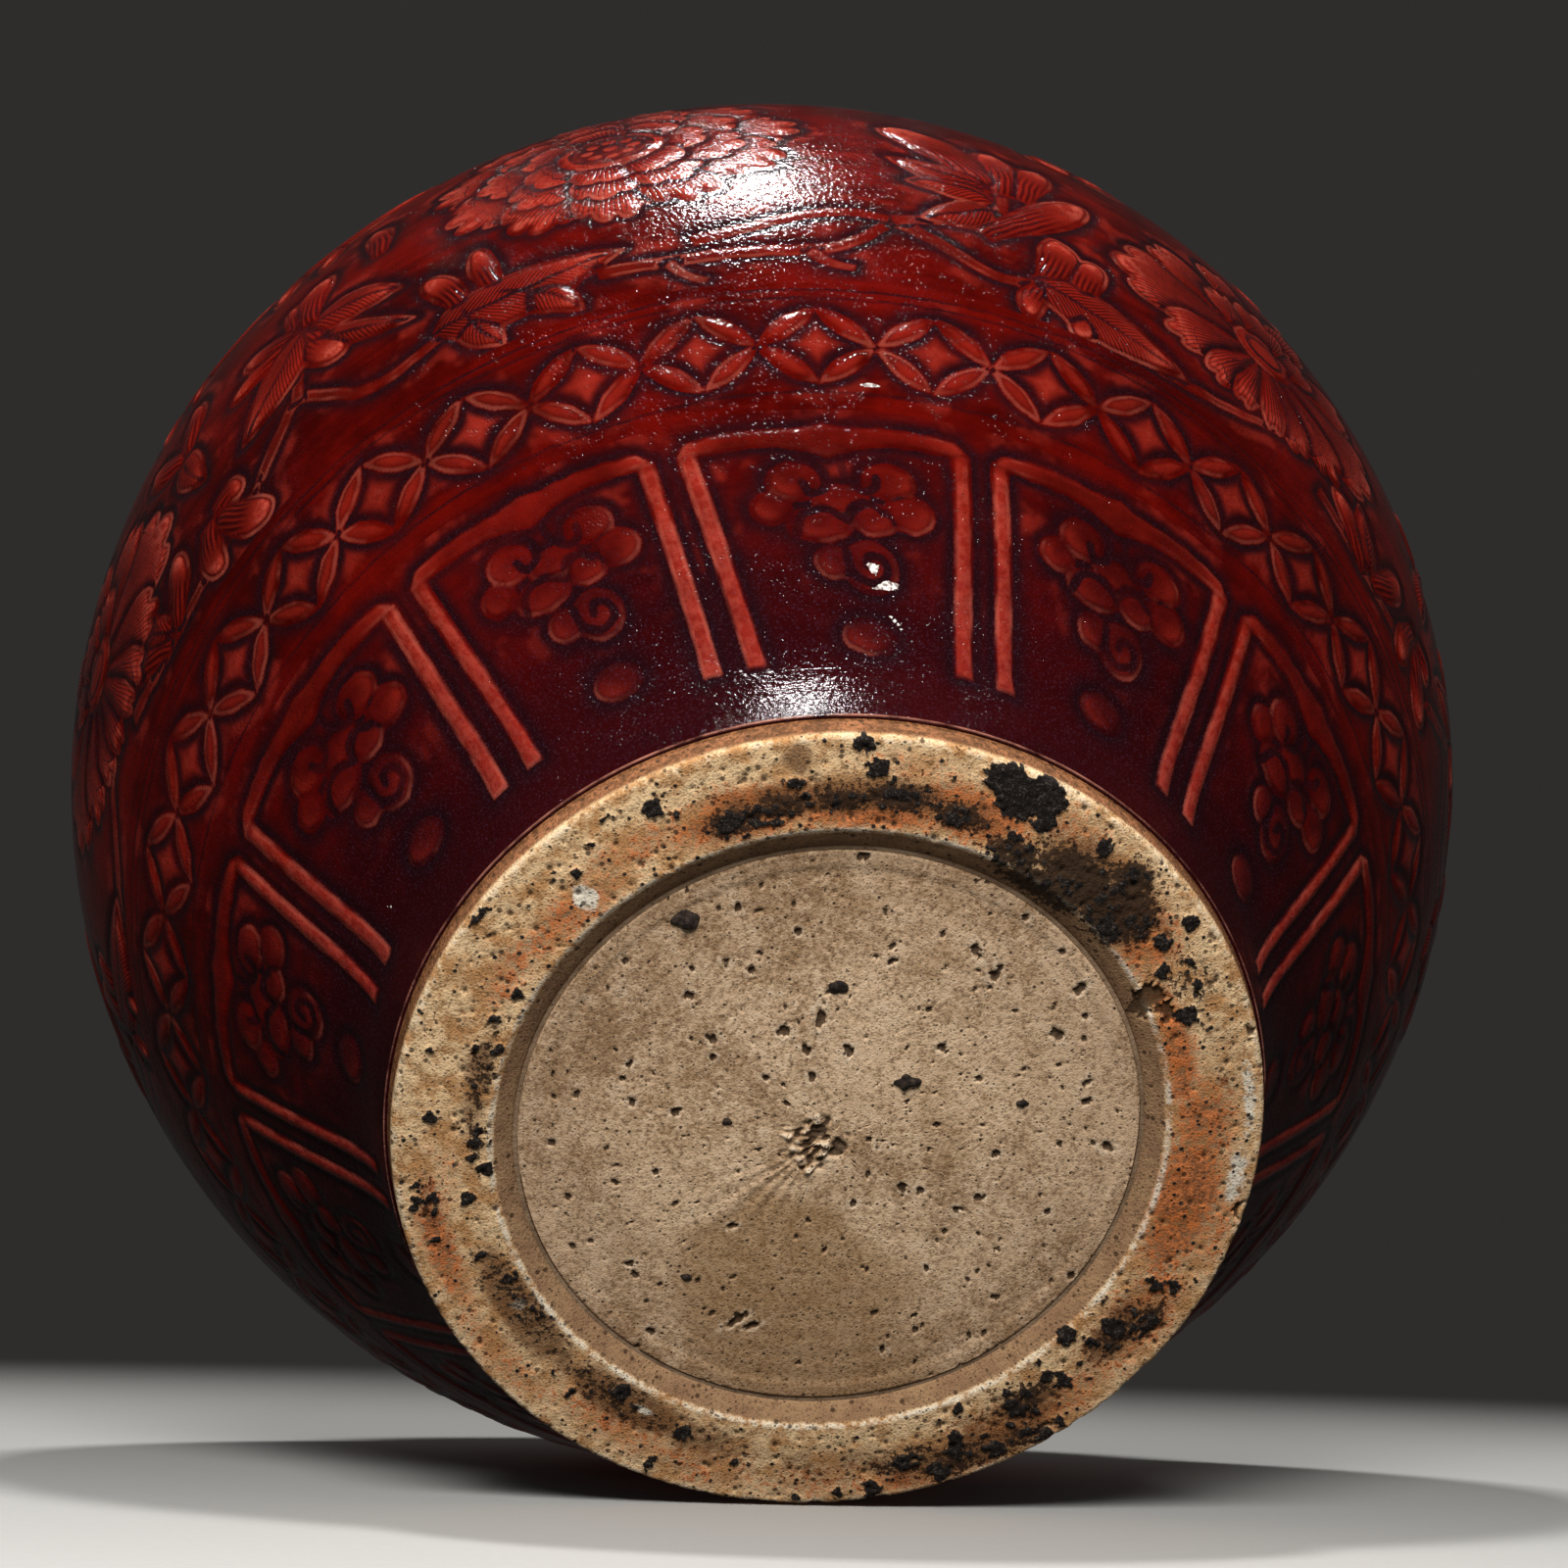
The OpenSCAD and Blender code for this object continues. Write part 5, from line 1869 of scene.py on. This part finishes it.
def floor(name, tilt, material):
    """A square floor through the foot's edge on the +Y side, tilted about X."""
    shape = bmesh.new()
    bmesh.ops.create_grid(shape, x_segments=1, y_segments=1, size=FLOOR_SIZE / 2)
    bmesh.ops.rotate(shape, verts=shape.verts, cent=(0, 0, 0), matrix=Matrix.Rotation(tilt, 3, "X"))
    if tilt:
        bmesh.ops.translate(shape, verts=shape.verts, vec=(0, FOOT_R * MM, 0))
    mesh = to_mesh(name, shape)
    mesh.materials.append(material)
    plane = bpy.data.objects.new(name, mesh)
    scene.collection.objects.link(plane)
    for kind in UNSEEN_BY:
        setattr(plane, kind, False)
    plane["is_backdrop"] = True


floor_finish = pale_floor()
floor("standing_floor", 0.0, floor_finish)
floor("lying_floor", math.pi / 2 - lying_lean, floor_finish)
print("The jar lies over by", round(90 - math.degrees(lying_lean), 1), "degrees")

# %% [markdown]
# ## Room and lamps
# The room is dark grey, and the light that it gives from all round is faint. A small key lamp hangs above
# the lying jar and makes its one sharp highlight. A broad fill lamp stands beside the camera, and a weak
# one stands behind. Those two are left out of reflections, so that the gloss stays dark.

# %% Room and lamps
ROOM_GREY = tone(46, 45, 44)
ROOM_LIGHT = (0.09, 0.09, 0.09, 1)
JAR_MIDDLE = Vector((0, 0, 0.13))
# A lamp has its name, its way from the jar, its distance, width and height in metres, its share of the light
# and whether it shows in reflections.
LAMPS = [
    ("key_lamp", Vector((-0.05, -0.795, 0.605)), 1.4, 0.16, 0.12, 0.8, True),
    ("fill_lamp", Vector((-0.14, -0.84, -0.52)), 0.85, 0.3, 0.3, 1.36, False),
    ("back_lamp", Vector((0.35, 0.8, 0.5)), 1.5, 0.6, 0.6, 0.25, False),
]


def grey_room():
    """A grey room for the camera and for reflections, and a faint even light for the rest."""
    world = bpy.data.worlds.new("grey_room")
    world.use_nodes = True
    tree = world.node_tree
    tree.nodes.clear()
    path = tree.nodes.new("ShaderNodeLightPath")
    seen = path.outputs["Is Camera Ray"]
    for name in ("Is Glossy Ray", "Is Transmission Ray"):
        either = tree.nodes.new("ShaderNodeMath")
        either.operation = "MAXIMUM"
        tree.links.new(seen, either.inputs[0])
        tree.links.new(path.outputs[name], either.inputs[1])
        seen = either.outputs[0]
    mixer = tree.nodes.new("ShaderNodeMixShader")
    tree.links.new(seen, mixer.inputs[0])
    for socket, colour in zip(mixer.inputs[1:], (ROOM_LIGHT, ROOM_GREY)):
        background = tree.nodes.new("ShaderNodeBackground")
        background.inputs["Color"].default_value = colour
        tree.links.new(background.outputs[0], socket)
    out = tree.nodes.new("ShaderNodeOutputWorld")
    tree.links.new(mixer.outputs[0], out.inputs["Surface"])
    return world


def lamp(name, way, away, width, height, share, reflected):
    """A soft rectangular lamp that gives share of the light at which white clay renders white."""
    data = bpy.data.lights.new(name, "AREA")
    data.shape = "RECTANGLE"
    data.size = width
    data.size_y = height
    data.energy = share * math.pi**2 * away**2
    spot = bpy.data.objects.new(name, data)
    scene.collection.objects.link(spot)
    way = way.normalized()
    spot.matrix_world = Matrix.LocRotScale(JAR_MIDDLE + way * away, way.to_track_quat("Z", "Y"), None)
    spot.visible_glossy = reflected


scene.world = grey_room()
for row in LAMPS:
    lamp(*row)
print("Lamps:", ", ".join(row[0] for row in LAMPS))

# %% [markdown]
# The dressed jar has to stay in the CAD's box, give or take the carving. Both boxes are printed.

# %% Write the sizes and finish
dressed_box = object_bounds()
for label, box in (("CAD box", cad_box), ("Dressed box", dressed_box)):
    print(label, [[round(v, 4) for v in corner] for corner in box])
